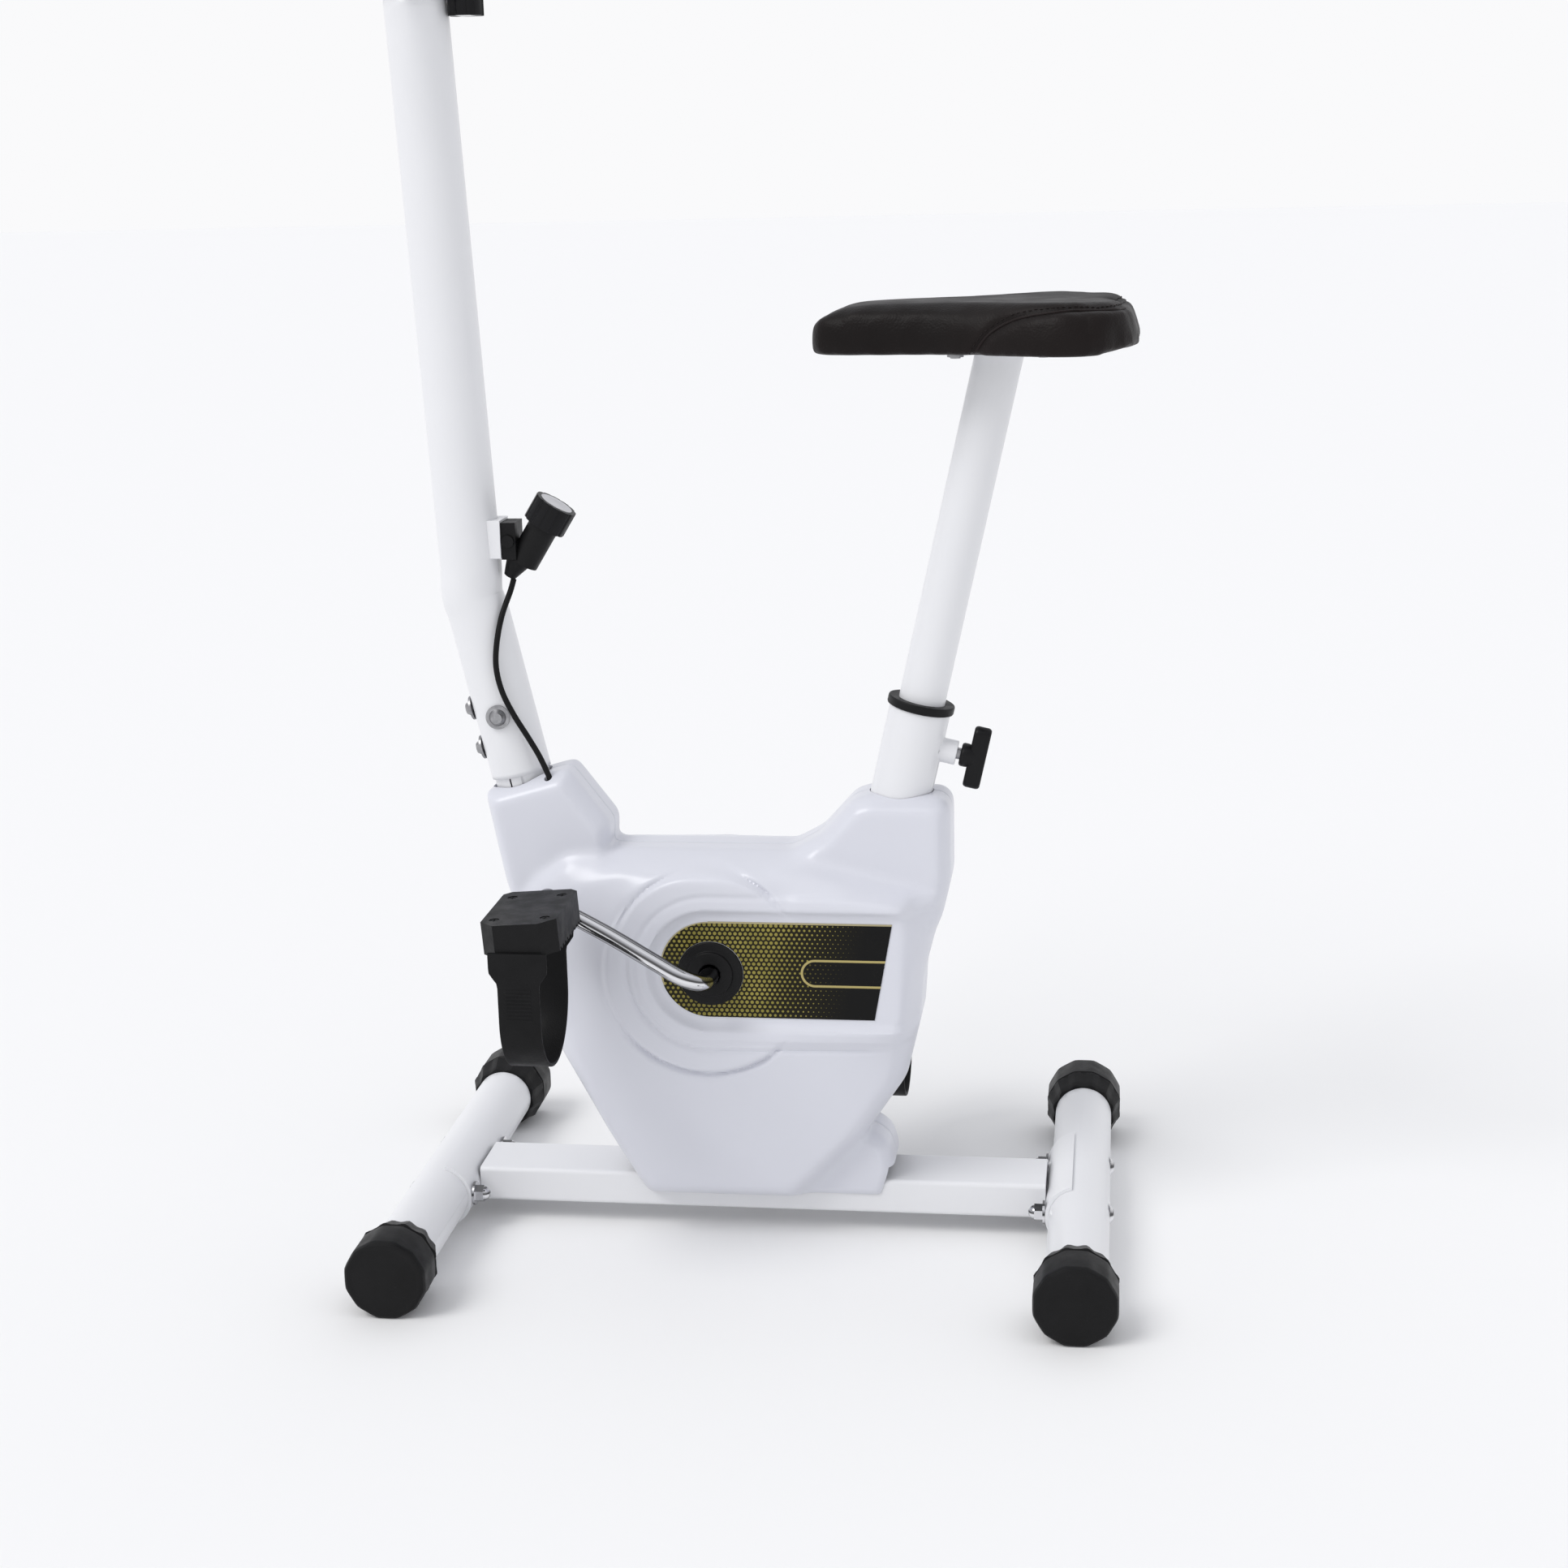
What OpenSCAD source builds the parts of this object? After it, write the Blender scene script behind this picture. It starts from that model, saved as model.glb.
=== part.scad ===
// Upright magnetic exercise bike.
// +Z is up, +X points to the rear (the seat), -Y is the rider's left.
// The origin is on the floor, midway between the two stabilisers.

/* [Base] */
// Distance between the two stabiliser tubes
wheelbase = 540; // [520:5:560]
// Overall length of a stabiliser, end caps included
stabilizer_length = 450; // [430:10:500]
// Outer diameter of a stabiliser tube
stabilizer_d = 50; // [48:1:52]
// Corner diameter of the twelve-sided end caps
cap_d = 68; // [66:1:70]
// Width of the main beam
beam_w = 60; // [56:1:60]
// Height of the main beam
beam_h = 30; // [28:1:32]

/* [Housing] */
// Half thickness of the housing at the crank
shell_half = 66; // [65:1:68]
// Wall thickness of the housing
shell_wall = 3; // [2.5:0.5:3.5]
// Radius of the round end of the side recess
recess_r = 50; // [48:1:52]

/* [Drive] */
// Height of the crank axle above the floor
crank_z = 239; // [237:1:241]
// Length of a crank arm
crank_length = 143; // [138:1:146]
// Angle of the left crank arm above the forward direction
crank_angle = 28.6; // [24:0.2:32]
// Tilt of the resting pedals, rear edge up
pedal_tip = 4; // [0:1:6]
// Radius of the crank pulley
crank_pulley_r = 70; // [66:1:71]
// Radius of the flywheel
flywheel_r = 62; // [56:1:62]
// Radius of the flywheel's small pulley
small_pulley_r = 14; // [13:1:15]

/* [Seat] */
// Outer diameter of the seat post
seat_post_d = 38; // [36:1:38]
// Outer diameter of the seat tube
seat_tube_d = 50; // [49:0.5:51]
// Backward lean of the seat tube
seat_lean = 12.8; // [12:0.1:13.5]
// Height of the top of the seat
seat_top_z = 773; // [772:1:780]
// Greatest width of the seat
seat_width = 210; // [200:5:220]

/* [Front post] */
// Outer diameter of the handlebar post
post_d = 50; // [49:0.5:51]
// Outer diameter of the handlebar
bar_d = 25.4; // [25:0.1:26]
// Overall width between the centres of the two grips
grip_spacing = 444; // [420:4:460]

/* [Hidden] */
$fn = 64;
gap = 0.3;

white = [0.93, 0.93, 0.95];
black = [0.07, 0.07, 0.08];
chrome = [0.78, 0.79, 0.81];
steel = [0.58, 0.59, 0.61];
gold = [0.72, 0.58, 0.20];

// Base
axis_z = cap_d / 2 * cos(15);
stab_r = stabilizer_d / 2;
stab_x = wheelbase / 2;
tube_wall = 2;
cap_length = 55;
tube_half = stabilizer_length / 2 - 8;
saddle_t = 3;
saddle_half = 60;
bolt_y = 50;
beam_top = axis_z + beam_h / 2;
beam_end = stab_x - stab_r - saddle_t - 0.2;

// Seat tube and seat post, measured along the leaning axis from its foot point
lean_foot = [47.3, 0, 48];
seat_tube_len = 410;
knob_at = 380;
seat_rest = 694;
post_insert = 100;
seat_axis = [sin(seat_lean), 0, cos(seat_lean)];

// Handlebar post
post_r = post_d / 2;
post_bore_r = post_r - 1.9;
upright_r = post_bore_r - 0.1;
low_lean = -12.4;
foot_lean = -21.6;
upright_knee = -102.5;
plate_t = 5;
post_low = [-197, 0, 400];
post_bend = [-228, 0, 541];
post_top = [-250, 0, 1012];
clamp_at = [-251, 0, 1028];
bar_r = bar_d / 2;
clamp_knob_x = 41;
case_at = [-268, 0, 1096];
case_tilt = 32;

// Screw places, each with the half thickness of the housing's wall there
SCREWS = [[-134, 346, 34.8], [-50, 66, 53], [96, 64, 33], [147, 335, 36.5]];
boss_r = 5;
dust_cap_r = 27;

// Saddle
seat_plate_x = 203;
seat_plate_z = 735;
seat_plate_t = 4;
seat_pan_t = 4;
seat_bolt_dx = 34;
seat_bolt_dy = 16;

// Drive
crank_x = -30;
spindle_r = 8;
arm_r = 6.8;
arm_y = 97;
elbow_y = 103.5;
eye_r = 9.5;
pulley_y0 = 35;
pulley_y1 = 46;
flywheel_x = -30;
flywheel_z = 150;
axle_r = 6;
wheel_y0 = -36;
wheel_y1 = -20;
belt_t = 2.5;
pedal_dx = -crank_length * cos(crank_angle);
pedal_dz = crank_length * sin(crank_angle);
pedal_y = 154;
pedal_len = 92;
pedal_w = 60;
pedal_h = 26;
spindle_pin_r = 6;
strap_w = 33;
strap_top_w = 46;
strap_t = 3;

// Magnet bracket
pivot = [-82, 0, 210];
lever_x = -115;
carrier_y1 = -24;
pivot_pin_r = 4;

// Tension control
ctl_lean = 32;
ctl_at = [-161, 0, 606];

// Cable route, from the control down past the post to the stop on the cross tube
CABLE = [
    [-194, 0, 553], [-196, -5, 544], [-201, -17, 526], [-204, -26, 506],
    [-205, -29, 486], [-201, -30, 466], [-192, -30, 446], [-181, -28, 426],
    [-172, -26, 408], [-163, -26, 385], [-152, -28, 350], [-140, -31, 318],
    [-128, -33, 288], [-118, -34, 266], [-115, -34, 250.2]];
cable_r = 2.4;

// Handlebar route on one side, and the point of its smooth curve where a grip begins
grip_from = 22;
BAR = [
    [0, 0, 0], [0, 24, 0], [0, 44, 0], [-10, 72, 6], [-32, 100, 22], [-48.3, 138, 44],
    [-40, 178, 60], [-12, 208, 66], [28, 221, 64], [76, 222, 56], [140, 222, 40]];

// ---------- shared helpers ----------
function unit(v) = v / norm(v);
function spline_at(p, i, t) =
    let (n = len(p) - 1, a = p[max(i - 1, 0)], b = p[i], c = p[min(i + 1, n)], d = p[min(i + 2, n)])
    0.5 * (2 * b + (c - a) * t + (2 * a - 5 * b + 4 * c - d) * t * t
        + (3 * b - a - 3 * c + d) * t * t * t);
function spline(p, steps) = concat(
    [for (i = [0:len(p) - 2]) for (k = [0:steps - 1]) spline_at(p, i, k / steps)],
    [p[len(p) - 1]]);
function tangent(p, i) = unit(p[min(i + 1, len(p) - 1)] - p[max(i - 1, 0)]);
function ring(p, i, r, sides, ref) =
    let (t = tangent(p, i), n = unit(cross(t, ref)), b = cross(n, t))
    [for (k = [0:sides - 1]) p[i] + r * (cos(360 * k / sides) * n + sin(360 * k / sides) * b)];

// A tube of radius r swept along the points p
module sweep(p, r, sides, ref) {
    rings = len(p);
    pts = [for (i = [0:rings - 1]) for (q = ring(p, i, r, sides, ref)) q];
    walls = [for (i = [0:rings - 2]) for (k = [0:sides - 1])
        [i * sides + k, i * sides + (k + 1) % sides,
         (i + 1) * sides + (k + 1) % sides, (i + 1) * sides + k]];
    first = [for (k = [sides - 1:-1:0]) k];
    last = [for (k = [0:sides - 1]) (rings - 1) * sides + k];
    polyhedron(pts, concat([first], walls, [last]), convexity = 6);
}

// A cylinder along Y from y0 to y1
module rod_y(x, z, r, y0, y1) {
    translate([x, y0, z]) rotate([-90, 0, 0]) cylinder(h = y1 - y0, r = r);
}

// A cylinder along X from x0 to x1
module rod_x(y, z, r, x0, x1) {
    translate([x0, y, z]) rotate([0, 90, 0]) cylinder(h = x1 - x0, r = r);
}

// Extrudes a side-view outline from y0 to y1
module slab_y(y0, y1) {
    translate([0, y1, 0]) rotate([90, 0, 0]) linear_extrude(y1 - y0) children();
}

module round_rect(w, h, r) {
    square([w - 2 * r, h], center = true);
    square([w, h - 2 * r], center = true);
    for (sx = [-1, 1]) for (sy = [-1, 1])
        translate([sx * (w / 2 - r), sy * (h / 2 - r)]) circle(r, $fn = 32);
}

module on_seat_axis(s) {
    translate(lean_foot + s * seat_axis) rotate([0, seat_lean, 0]) children();
}

module on_low_post() {
    translate(post_low) rotate([0, low_lean, 0]) children();
}

module mirror_y() {
    mirror([0, 1, 0]) children();
}

// ---------- base ----------
module main_beam() {
    color(white) difference() {
        translate([-beam_end, 0, axis_z]) rotate([0, 90, 0])
            linear_extrude(2 * beam_end) round_rect(beam_h, beam_w, 4);
        translate([-beam_end - 1, 0, axis_z]) rotate([0, 90, 0])
            linear_extrude(2 * beam_end + 2) round_rect(beam_h - 4, beam_w - 4, 2.5);
    }
}

// Curved plate welded to a beam end, which cradles a stabiliser tube
module saddle(side) {
    color(white) difference() {
        rod_y(side * stab_x, axis_z, stab_r + saddle_t, -saddle_half, saddle_half);
        rod_y(side * stab_x, axis_z, stab_r + 0.05, -saddle_half - 1, saddle_half + 1);
        translate([side * (stab_x + 28), 0, axis_z])
            cube([56 + 12, 130, 70], center = true);
        for (s = [-1, 1])
            rod_x(s * bolt_y, axis_z, 4.2, side * stab_x - 40, side * stab_x + 40);
    }
}

module front_saddle() {
    saddle(-1);
}

module rear_saddle() {
    saddle(1);
}

module stabilizer(side) {
    color(white) difference() {
        rod_y(side * stab_x, axis_z, stab_r, -tube_half, tube_half);
        rod_y(side * stab_x, axis_z, stab_r - tube_wall, -tube_half - 1, tube_half + 1);
        for (s = [-1, 1])
            rod_x(s * bolt_y, axis_z, 4.2, side * stab_x - 40, side * stab_x + 40);
    }
}

module front_stabilizer() {
    stabilizer(-1);
}

module rear_stabilizer() {
    stabilizer(1);
}

// Twelve-sided cap with a flared collar, open towards the middle of the bike
module end_cap() {
    start = stabilizer_length / 2 - cap_length;
    difference() {
        rotate([-90, 15, 0]) {
            translate([0, 0, start]) cylinder(h = 20, r1 = 27.6, r2 = cap_d / 2, $fn = 12);
            translate([0, 0, start + 20]) cylinder(h = cap_length - 23, r = cap_d / 2, $fn = 12);
            translate([0, 0, start + cap_length - 3])
                cylinder(h = 3, r1 = cap_d / 2, r2 = cap_d / 2 - 3, $fn = 12);
        }
        rod_y(0, 0, stab_r + 0.05, start - 1, tube_half + 0.1);
    }
}

module end_caps(side) {
    color(black) translate([side * stab_x, 0, axis_z]) {
        end_cap();
        mirror_y() end_cap();
    }
}

module front_end_caps() {
    end_caps(-1);
}

module rear_end_caps() {
    end_caps(1);
}

// Carriage bolts: domed heads outside, shanks through tube and saddle
module stabilizer_bolts() {
    color(chrome) for (side = [-1, 1]) for (s = [-1, 1])
        translate([side * stab_x, s * bolt_y, axis_z]) rotate([0, side * 90, 0]) {
            translate([0, 0, stab_r + 0.05]) cylinder(h = 3.05, r1 = 8.5, r2 = 4);
            translate([0, 0, -stab_r - 13]) cylinder(h = 2 * stab_r + 14, r = 4);
        }
}

// Washer and domed cap nut on the inner side of each bolt
module stabilizer_nuts() {
    inner = stab_r + saddle_t;
    color(chrome) for (side = [-1, 1]) for (s = [-1, 1])
        translate([side * (stab_x - inner), s * bolt_y, axis_z]) rotate([0, -side * 90, 0])
            difference() {
                union() {
                    translate([0, 0, 0.1]) cylinder(h = 2, r = 10);
                    translate([0, 0, 2]) cylinder(h = 7, r = 7.5, $fn = 6);
                    translate([0, 0, 8]) sphere(r = 6);
                }
                translate([0, 0, -1]) cylinder(h = 12, r = 4.05);
            }
}

// ---------- frame ----------
module seat_tube_solid(extra = 0) {
    on_seat_axis(-20) cylinder(h = seat_tube_len + 20 + extra, r = seat_tube_d / 2 + extra);
}

// Upper length, a welded joint plate, and the more sloping length down to the beam
module upright_solid(extra = 0) {
    upright_rods(upright_r + extra, 0);
    on_low_post() translate([0, 0, upright_knee - plate_t]) cylinder(h = plate_t, r = 25.5 + extra);
}

module upright_rods(r, past_end) {
    on_low_post() {
        translate([0, 0, upright_knee - past_end / 2])
            cylinder(h = 70 - upright_knee + past_end, r = r);
        difference() {
            translate([0, 0, upright_knee]) rotate([0, foot_lean - low_lean, 0])
                translate([0, 0, -320]) cylinder(h = 340, r = r);
            translate([-60, -60, upright_knee - plate_t * 0.6 - past_end]) cube([120, 120, 80]);
        }
    }
}

module below_beam_top() {
    translate([-200, -60, beam_top - 100]) cube([400, 120, 100]);
}

module seat_tube() {
    color(white) difference() {
        union() {
            seat_tube_solid();
            on_seat_axis(knob_at) rotate([0, 90, 0]) cylinder(h = 37, r = 10);
        }
        on_seat_axis(-21) cylinder(h = seat_tube_len + 30, r = seat_tube_d / 2 - 2);
        on_seat_axis(knob_at) rotate([0, 90, 0]) cylinder(h = 40, r = 5.05);
        below_beam_top();
    }
}

module front_upright() {
    color(white) difference() {
        upright_solid();
        upright_rods(upright_r - 2, plate_t / 2);
        below_beam_top();
        on_low_post() for (z = [18, 52])
            translate([0, 0, z]) rotate([0, -90, 0]) cylinder(h = 40, r = 4.1);
        on_low_post() translate([0, 0, 44]) rotate([90, 0, 0])
            translate([0, 0, -40]) cylinder(h = 80, r = 4.1);
    }
}

// Cross tube between the uprights, with the crank's bearing shell, the pivot lug and the cable stop
module crank_housing() {
    color(steel) difference() {
        union() {
            translate([-160, -14, crank_z - 14]) cube([250, 28, 28]);
            rod_y(crank_x, crank_z, 22, -30, 30);
            translate([pivot[0] - 10, -18, pivot[2] - 10]) cube([20, 5, 36]);
            rod_y(pivot[0], pivot[2], pivot_pin_r, -43, -14);
            translate([lever_x - 8, -42, 246]) cube([16, 30, 4]);
        }
        translate([lever_x - 1.3, -35.2, 240]) cube([7, 2.4, 20]);
        rod_y(crank_x, crank_z, 19, -31, 31);
        seat_tube_solid(0.05);
        upright_solid(0.05);
    }
}

// A 4 mm arm that leans out from the plate's edge, then stands straight up to the axle
module bracket_arm(foot_y, top_y) {
    bend_z = 76;
    hull() {
        translate([flywheel_x - 14, foot_y, beam_top + 0.05]) cube([28, 4, 4]);
        translate([flywheel_x - 14, top_y, bend_z]) cube([28, 4, 0.5]);
    }
    translate([flywheel_x - 14, top_y, bend_z]) cube([28, 4, flywheel_z - bend_z]);
}

// Folded plate on the beam that carries the flywheel axle
module flywheel_bracket() {
    color(steel) difference() {
        union() {
            translate([-58, -38, beam_top + 0.05]) cube([76, 76, 4]);
            bracket_arm(-38, -45);
            bracket_arm(34, 47);
            rod_y(flywheel_x, flywheel_z, 14, -45, -41);
            rod_y(flywheel_x, flywheel_z, 14, 47, 51);
        }
        upright_solid(0.05);
        seat_tube_solid(0.05);
        rod_y(flywheel_x, flywheel_z, axle_r + 0.05, -60, 60);
    }
}

// ---------- housing ----------
module main_outline() {
    polygon([[-112, 332], [43, 332], [150, 305], [157, 280], [151, 266], [141.5, 229],
        [139, 192], [127, 142], [90, 92], [34, 31], [-94, 31], [-108, 52], [-130, 92],
        [-165, 156], [-197, 262], [-194, 285], [-176, 309], [-150, 326]]);
}

module belly_outline() {
    polygon([[-106, 324], [30, 325], [130, 300], [140, 272], [128, 186], [114, 142], [82, 96],
        [31, 46], [-86, 46], [-121, 98], [-150, 165], [-172, 250], [-166, 288], [-146, 306]]);
}

module flank_outline() {
    translate([-34, crank_z]) circle(86, $fn = 48);
    translate([40, 196]) square([84, 104]);
}

module front_outline() {
    polygon([[-222, 379], [-152, 399], [-117, 352], [-110, 326], [-100, 300], [-150, 190],
        [-180, 205], [-208, 303]]);
}

module rear_outline() {
    polygon([[30, 331], [56, 345], [84, 376], [98, 380], [156, 379], [164, 371], [164, 310],
        [157, 280], [140, 215], [60, 215]]);
}

// Low step behind the belly, over the seat tube's foot
module lobe_outline() {
    polygon([[20, 96], [98, 88], [111, 79], [116, 60], [107, 31], [20, 31]]);
}

module trimmed(inset, y) {
    slab_y(-y, y) offset(delta = -inset) children();
}

// The closed body of the housing, moved in by inset on every side
module housing_body(inset, flank_y) {
    hull() {
        trimmed(inset, 34 - inset) main_outline();
        trimmed(inset, 54 - inset) belly_outline();
        trimmed(inset, flank_y) flank_outline();
    }
    hull() {
        trimmed(inset, 24 - inset) front_outline();
        trimmed(inset + 7, 36 - inset) front_outline();
    }
    hull() {
        trimmed(inset, 26 - inset) rear_outline();
        trimmed(inset + 7, 38 - inset) rear_outline();
    }
    trimmed(inset, 34 - inset) lobe_outline();
}

module recess_outline() {
    translate([-32, crank_z + 2]) circle(recess_r);
    translate([-32, crank_z + 2 - recess_r]) square([200, 2 * recess_r]);
}

module shell(side) {
    color(white) difference() {
        union() {
            difference() {
                housing_body(0, shell_half);
                housing_body(shell_wall, shell_half - 2 * shell_wall);
            }
            for (p = SCREWS) rod_y(p[0], p[1], boss_r, -p[2], p[2]);
        }
        translate([-150, -31, 0]) cube([300, 62, 60]);
        translate([-300, side > 0 ? -100 : -0.15, -10]) cube([600, 100.15, 500]);
        slab_y(-100, -shell_half + 3) recess_outline();
        slab_y(shell_half - 3, 100) recess_outline();
        rod_y(crank_x, crank_z, 22, -100, 100);
        seat_tube_solid(0.5);
        on_low_post() translate([0, 0, -95]) cylinder(h = 300, r = post_r + 0.5);
        translate([-172, -26, 408]) rotate([0, -18, 0]) cylinder(h = 90, r = 3.4, center = true);
        for (p = SCREWS) {
            rod_y(p[0], p[1], 2.05, -p[2] + 8, 100);
            rod_y(p[0], p[1], 4, p[2] - 2, 100);
        }
    }
}

module left_shell() {
    shell(-1);
}

module right_shell() {
    shell(1);
}

// Long screws that pull the two halves together from the right side
module shell_screws() {
    color(steel) for (p = SCREWS) {
        rod_y(p[0], p[1], 2, -p[2] + 14, p[2] - 1.9);
        rod_y(p[0], p[1], 3.6, p[2] - 1.95, p[2] + 0.4);
    }
}

module decal_outline() {
    difference() {
        union() {
            translate([-31, crank_z + 3]) circle(40.5);
            polygon([[-31, 283], [119, 283], [104, 201.5], [-31, 201.5]]);
        }
        translate([crank_x, crank_z]) circle(dust_cap_r + 0.3);
    }
}

module side_decals() {
    floor_y = shell_half - 3;
    color(gold) slab_y(-floor_y - 0.45, -floor_y - 0.05) decal_outline();
    color(gold) slab_y(floor_y + 0.05, floor_y + 0.45) decal_outline();
}

module dust_cap() {
    floor_y = shell_half - 3;
    difference() {
        union() {
            rod_y(crank_x, crank_z, dust_cap_r, floor_y + 0.1, floor_y + 3);
            rod_y(crank_x, crank_z, 19, floor_y, floor_y + 5.5);
            rod_y(crank_x, crank_z, 21.5, floor_y - 5, floor_y + 2);
        }
        rod_y(crank_x, crank_z, spindle_r + 0.6, 0, 100);
    }
}

module dust_caps() {
    color(black) dust_cap();
    color(black) mirror_y() dust_cap();
}

// ---------- front post and its controls ----------
function post_route() = [
    post_low - 0.06 * (post_bend - post_low), post_low + 0.55 * (post_bend - post_low),
    post_low + 0.86 * (post_bend - post_low), post_bend + [-1.2, 0, 0],
    post_bend + 0.05 * (post_top - post_bend), post_bend + 0.12 * (post_top - post_bend), post_top];

function post_bore_route() = concat([post_low - 0.12 * (post_bend - post_low)],
    [for (i = [1:5]) post_route()[i]], [post_top + 0.02 * (post_top - post_bend)]);

module handlebar_post() {
    color(white) difference() {
        sweep(post_route(), post_r, 36, [0, 1, 0]);
        sweep(post_bore_route(), post_r - 2.3, 36, [0, 1, 0]);
        on_low_post() translate([0, 0, -20]) cylinder(h = 100, r = post_bore_r);
        rod_y(clamp_at[0], clamp_at[2], 21, -40, 40);
        on_low_post() for (z = [18, 52])
            translate([0, 0, z]) rotate([0, -90, 0]) cylinder(h = 40, r = 4.1);
        on_low_post() translate([0, 0, 44]) rotate([90, 0, 0])
            translate([0, 0, -40]) cylinder(h = 80, r = 4.1);
    }
}

// Button-head bolt with its washer, the head's top at z = 0
module button_bolt() {
    rotate([180, 0, 0]) {
        cylinder(h = 16, r = 4);
        cylinder(h = 4.5, r1 = 4.5, r2 = 7.2);
        translate([0, 0, 4.4]) cylinder(h = 2, r = 10);
    }
}

// Two bolts from the front and one from each side hold the post on the upright
module post_bolts() {
    color(steel) on_low_post() {
        for (z = [18, 52])
            translate([-post_r - 6.6, 0, z]) rotate([0, -90, 0]) button_bolt();
        for (s = [-1, 1])
            translate([0, s * (post_r + 6.6), 44]) rotate([-s * 90, 0, 0]) button_bolt();
    }
}

module tension_bracket() {
    color(white) difference() {
        translate([-226, -15, 572]) cube([26, 30, 31]);
        translate(post_bend) rotate([0, -2.7, 0]) cylinder(h = 120, r = post_r + 0.05);
    }
}

module on_control() {
    translate(ctl_at) rotate([0, ctl_lean, 0]) children();
}

// Lever body: mount block, slanted barrel, tapered cable exit
module tension_housing() {
    color(black) difference() {
        union() {
            translate([-199.9, -13, 571]) cube([12, 26, 30]);
            on_control() translate([0, 0, -46]) cylinder(h = 35, r = 12.5);
            on_control() translate([-4, 0, -62]) cylinder(h = 17, r1 = 5, r2 = 11);
            translate([-194, -15.5, 586]) rotate([-90, 0, 0]) cylinder(h = 31, r = 5);
        }
        on_control() translate([0, 0, -24]) cylinder(h = 20, r = 4.08);
    }
}

module tension_knob() {
    color(black) on_control() {
        difference() {
            translate([0, 0, -10.5]) cylinder(h = 21, r = 17.8);
            for (a = [0:30:330]) rotate([0, 0, a])
                translate([19.6, 0, -11]) cylinder(h = 22, r = 2.6, $fn = 24);
            translate([0, 0, 9.5]) cylinder(h = 3, r = 14);
        }
        translate([0, 0, -20]) cylinder(h = 12, r = 4);
    }
    color(chrome) on_control() translate([0, 0, 9.4]) cylinder(h = 1.4, r = 13.9);
}

module tension_cable() {
    color(black) sweep(spline(CABLE, 3), cable_r, 8, [0, 1, 0]);
}

// ---------- seat ----------
module seat_collar() {
    color(black) on_seat_axis(seat_tube_len) difference() {
        union() {
            translate([0, 0, 0.05]) cylinder(h = 7, r = 27.4);
            translate([0, 0, -18]) cylinder(h = 20, r = seat_tube_d / 2 - 2.05);
        }
        translate([0, 0, -20]) cylinder(h = 40, r = seat_post_d / 2 + 0.08);
    }
}

module at_seat_bolts() {
    for (sx = [-1, 1]) for (sy = [-1, 1])
        translate([seat_plate_x + sx * seat_bolt_dx, sy * seat_bolt_dy, seat_plate_z]) children();
}

module seat_post() {
    length = seat_rest - seat_tube_len + post_insert;
    color(white) {
        difference() {
            on_seat_axis(seat_rest - length) cylinder(h = length + 20, r = seat_post_d / 2);
            on_seat_axis(seat_rest - length - 1) cylinder(h = length + 30, r = seat_post_d / 2 - 1.6);
            translate([0, -60, seat_plate_z]) cube([400, 120, 60]);
        }
        difference() {
            translate([seat_plate_x - 50, -30, seat_plate_z]) cube([100, 60, seat_plate_t]);
            at_seat_bolts() translate([0, 0, -10]) cylinder(h = 30, r = 4.1);
        }
    }
}

module seat_plan(inset) {
    half = seat_width / 2;
    offset(r = 18 - inset) offset(delta = -18) polygon([
        [57, -40], [57, 40], [80, 47], [150, 60], [190, 76], [225, half - 8], [250, half],
        [282, half - 4], [304, half - 26], [312, half - 55], [312, -half + 55], [304, -half + 26],
        [282, -half + 4], [250, -half], [225, -half + 8], [190, -76], [150, -60], [80, -47]]);
}

// Moulded base inside the cushion's underside
module seat_pan() {
    color(black) difference() {
        translate([0, 0, seat_plate_z + seat_plate_t + 0.1]) linear_extrude(seat_pan_t) seat_plan(24);
        at_seat_bolts() translate([0, 0, -10]) cylinder(h = 30, r = 4.1);
    }
}

// Foam and cover: the plan outline cut to the side profile
module seat_cushion() {
    recess_top = seat_plate_z + seat_plate_t + seat_pan_t + 0.6;
    color(black) intersection() {
        difference() {
            translate([0, 0, 729]) linear_extrude(60) seat_plan(0);
            translate([0, 0, 720]) linear_extrude(recess_top - 720) seat_plan(23.4);
        }
        slab_y(-200, 200) polygon([
            [50, 733], [57, 752], [68, 762], [94, 768], [119, 770], [183, seat_top_z - 1],
            [245, seat_top_z], [303, seat_top_z - 1], [309, 768], [313, 745], [313, 740], [277, 733]]);
    }
}

// Screws from the pan, each with a washer and a nut under the plate
module seat_nuts() {
    color(steel) at_seat_bolts() {
        translate([0, 0, -1.7]) cylinder(h = 1.6, r = 8);
        translate([0, 0, -5.5]) cylinder(h = 4, r = 6.5, $fn = 6);
        translate([0, 0, -6.5]) cylinder(h = seat_plate_t + seat_pan_t + 6.5, r = 4);
    }
}

// T handle with its threaded stem, which clamps the seat post
module seat_knob() {
    on_seat_axis(knob_at) rotate([0, 90, 0]) {
        color(chrome) translate([0, 0, seat_post_d / 2 + 0.3]) cylinder(h = 30, r = 5);
        color(black) {
            translate([0, 0, 40]) cylinder(h = 12, r = 10.5);
            difference() {
                translate([0, 0, 47]) linear_extrude(14) {
                    translate([-19, 0]) circle(7);
                    translate([19, 0]) circle(7);
                    translate([-19, -6]) square([38, 12]);
                }
                translate([0, 0, 46]) cylinder(h = 2, r = 5.2);
            }
        }
    }
}

// ---------- crank, belt and flywheel ----------
module crank_cups() {
    color(steel) for (s = [0, 1]) mirror([0, s, 0]) difference() {
        union() {
            rod_y(crank_x, crank_z, 18.95, 20, 30.1);
            rod_y(crank_x, crank_z, 21.5, 30.05, 32.5);
        }
        rod_y(crank_x, crank_z, 15.05, 19, 33);
    }
}

module crank_bearings() {
    color(chrome) for (s = [0, 1]) mirror([0, s, 0]) difference() {
        rod_y(crank_x, crank_z, 15, 21, 29);
        rod_y(crank_x, crank_z, spindle_r + 0.02, 20, 30);
    }
}

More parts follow.
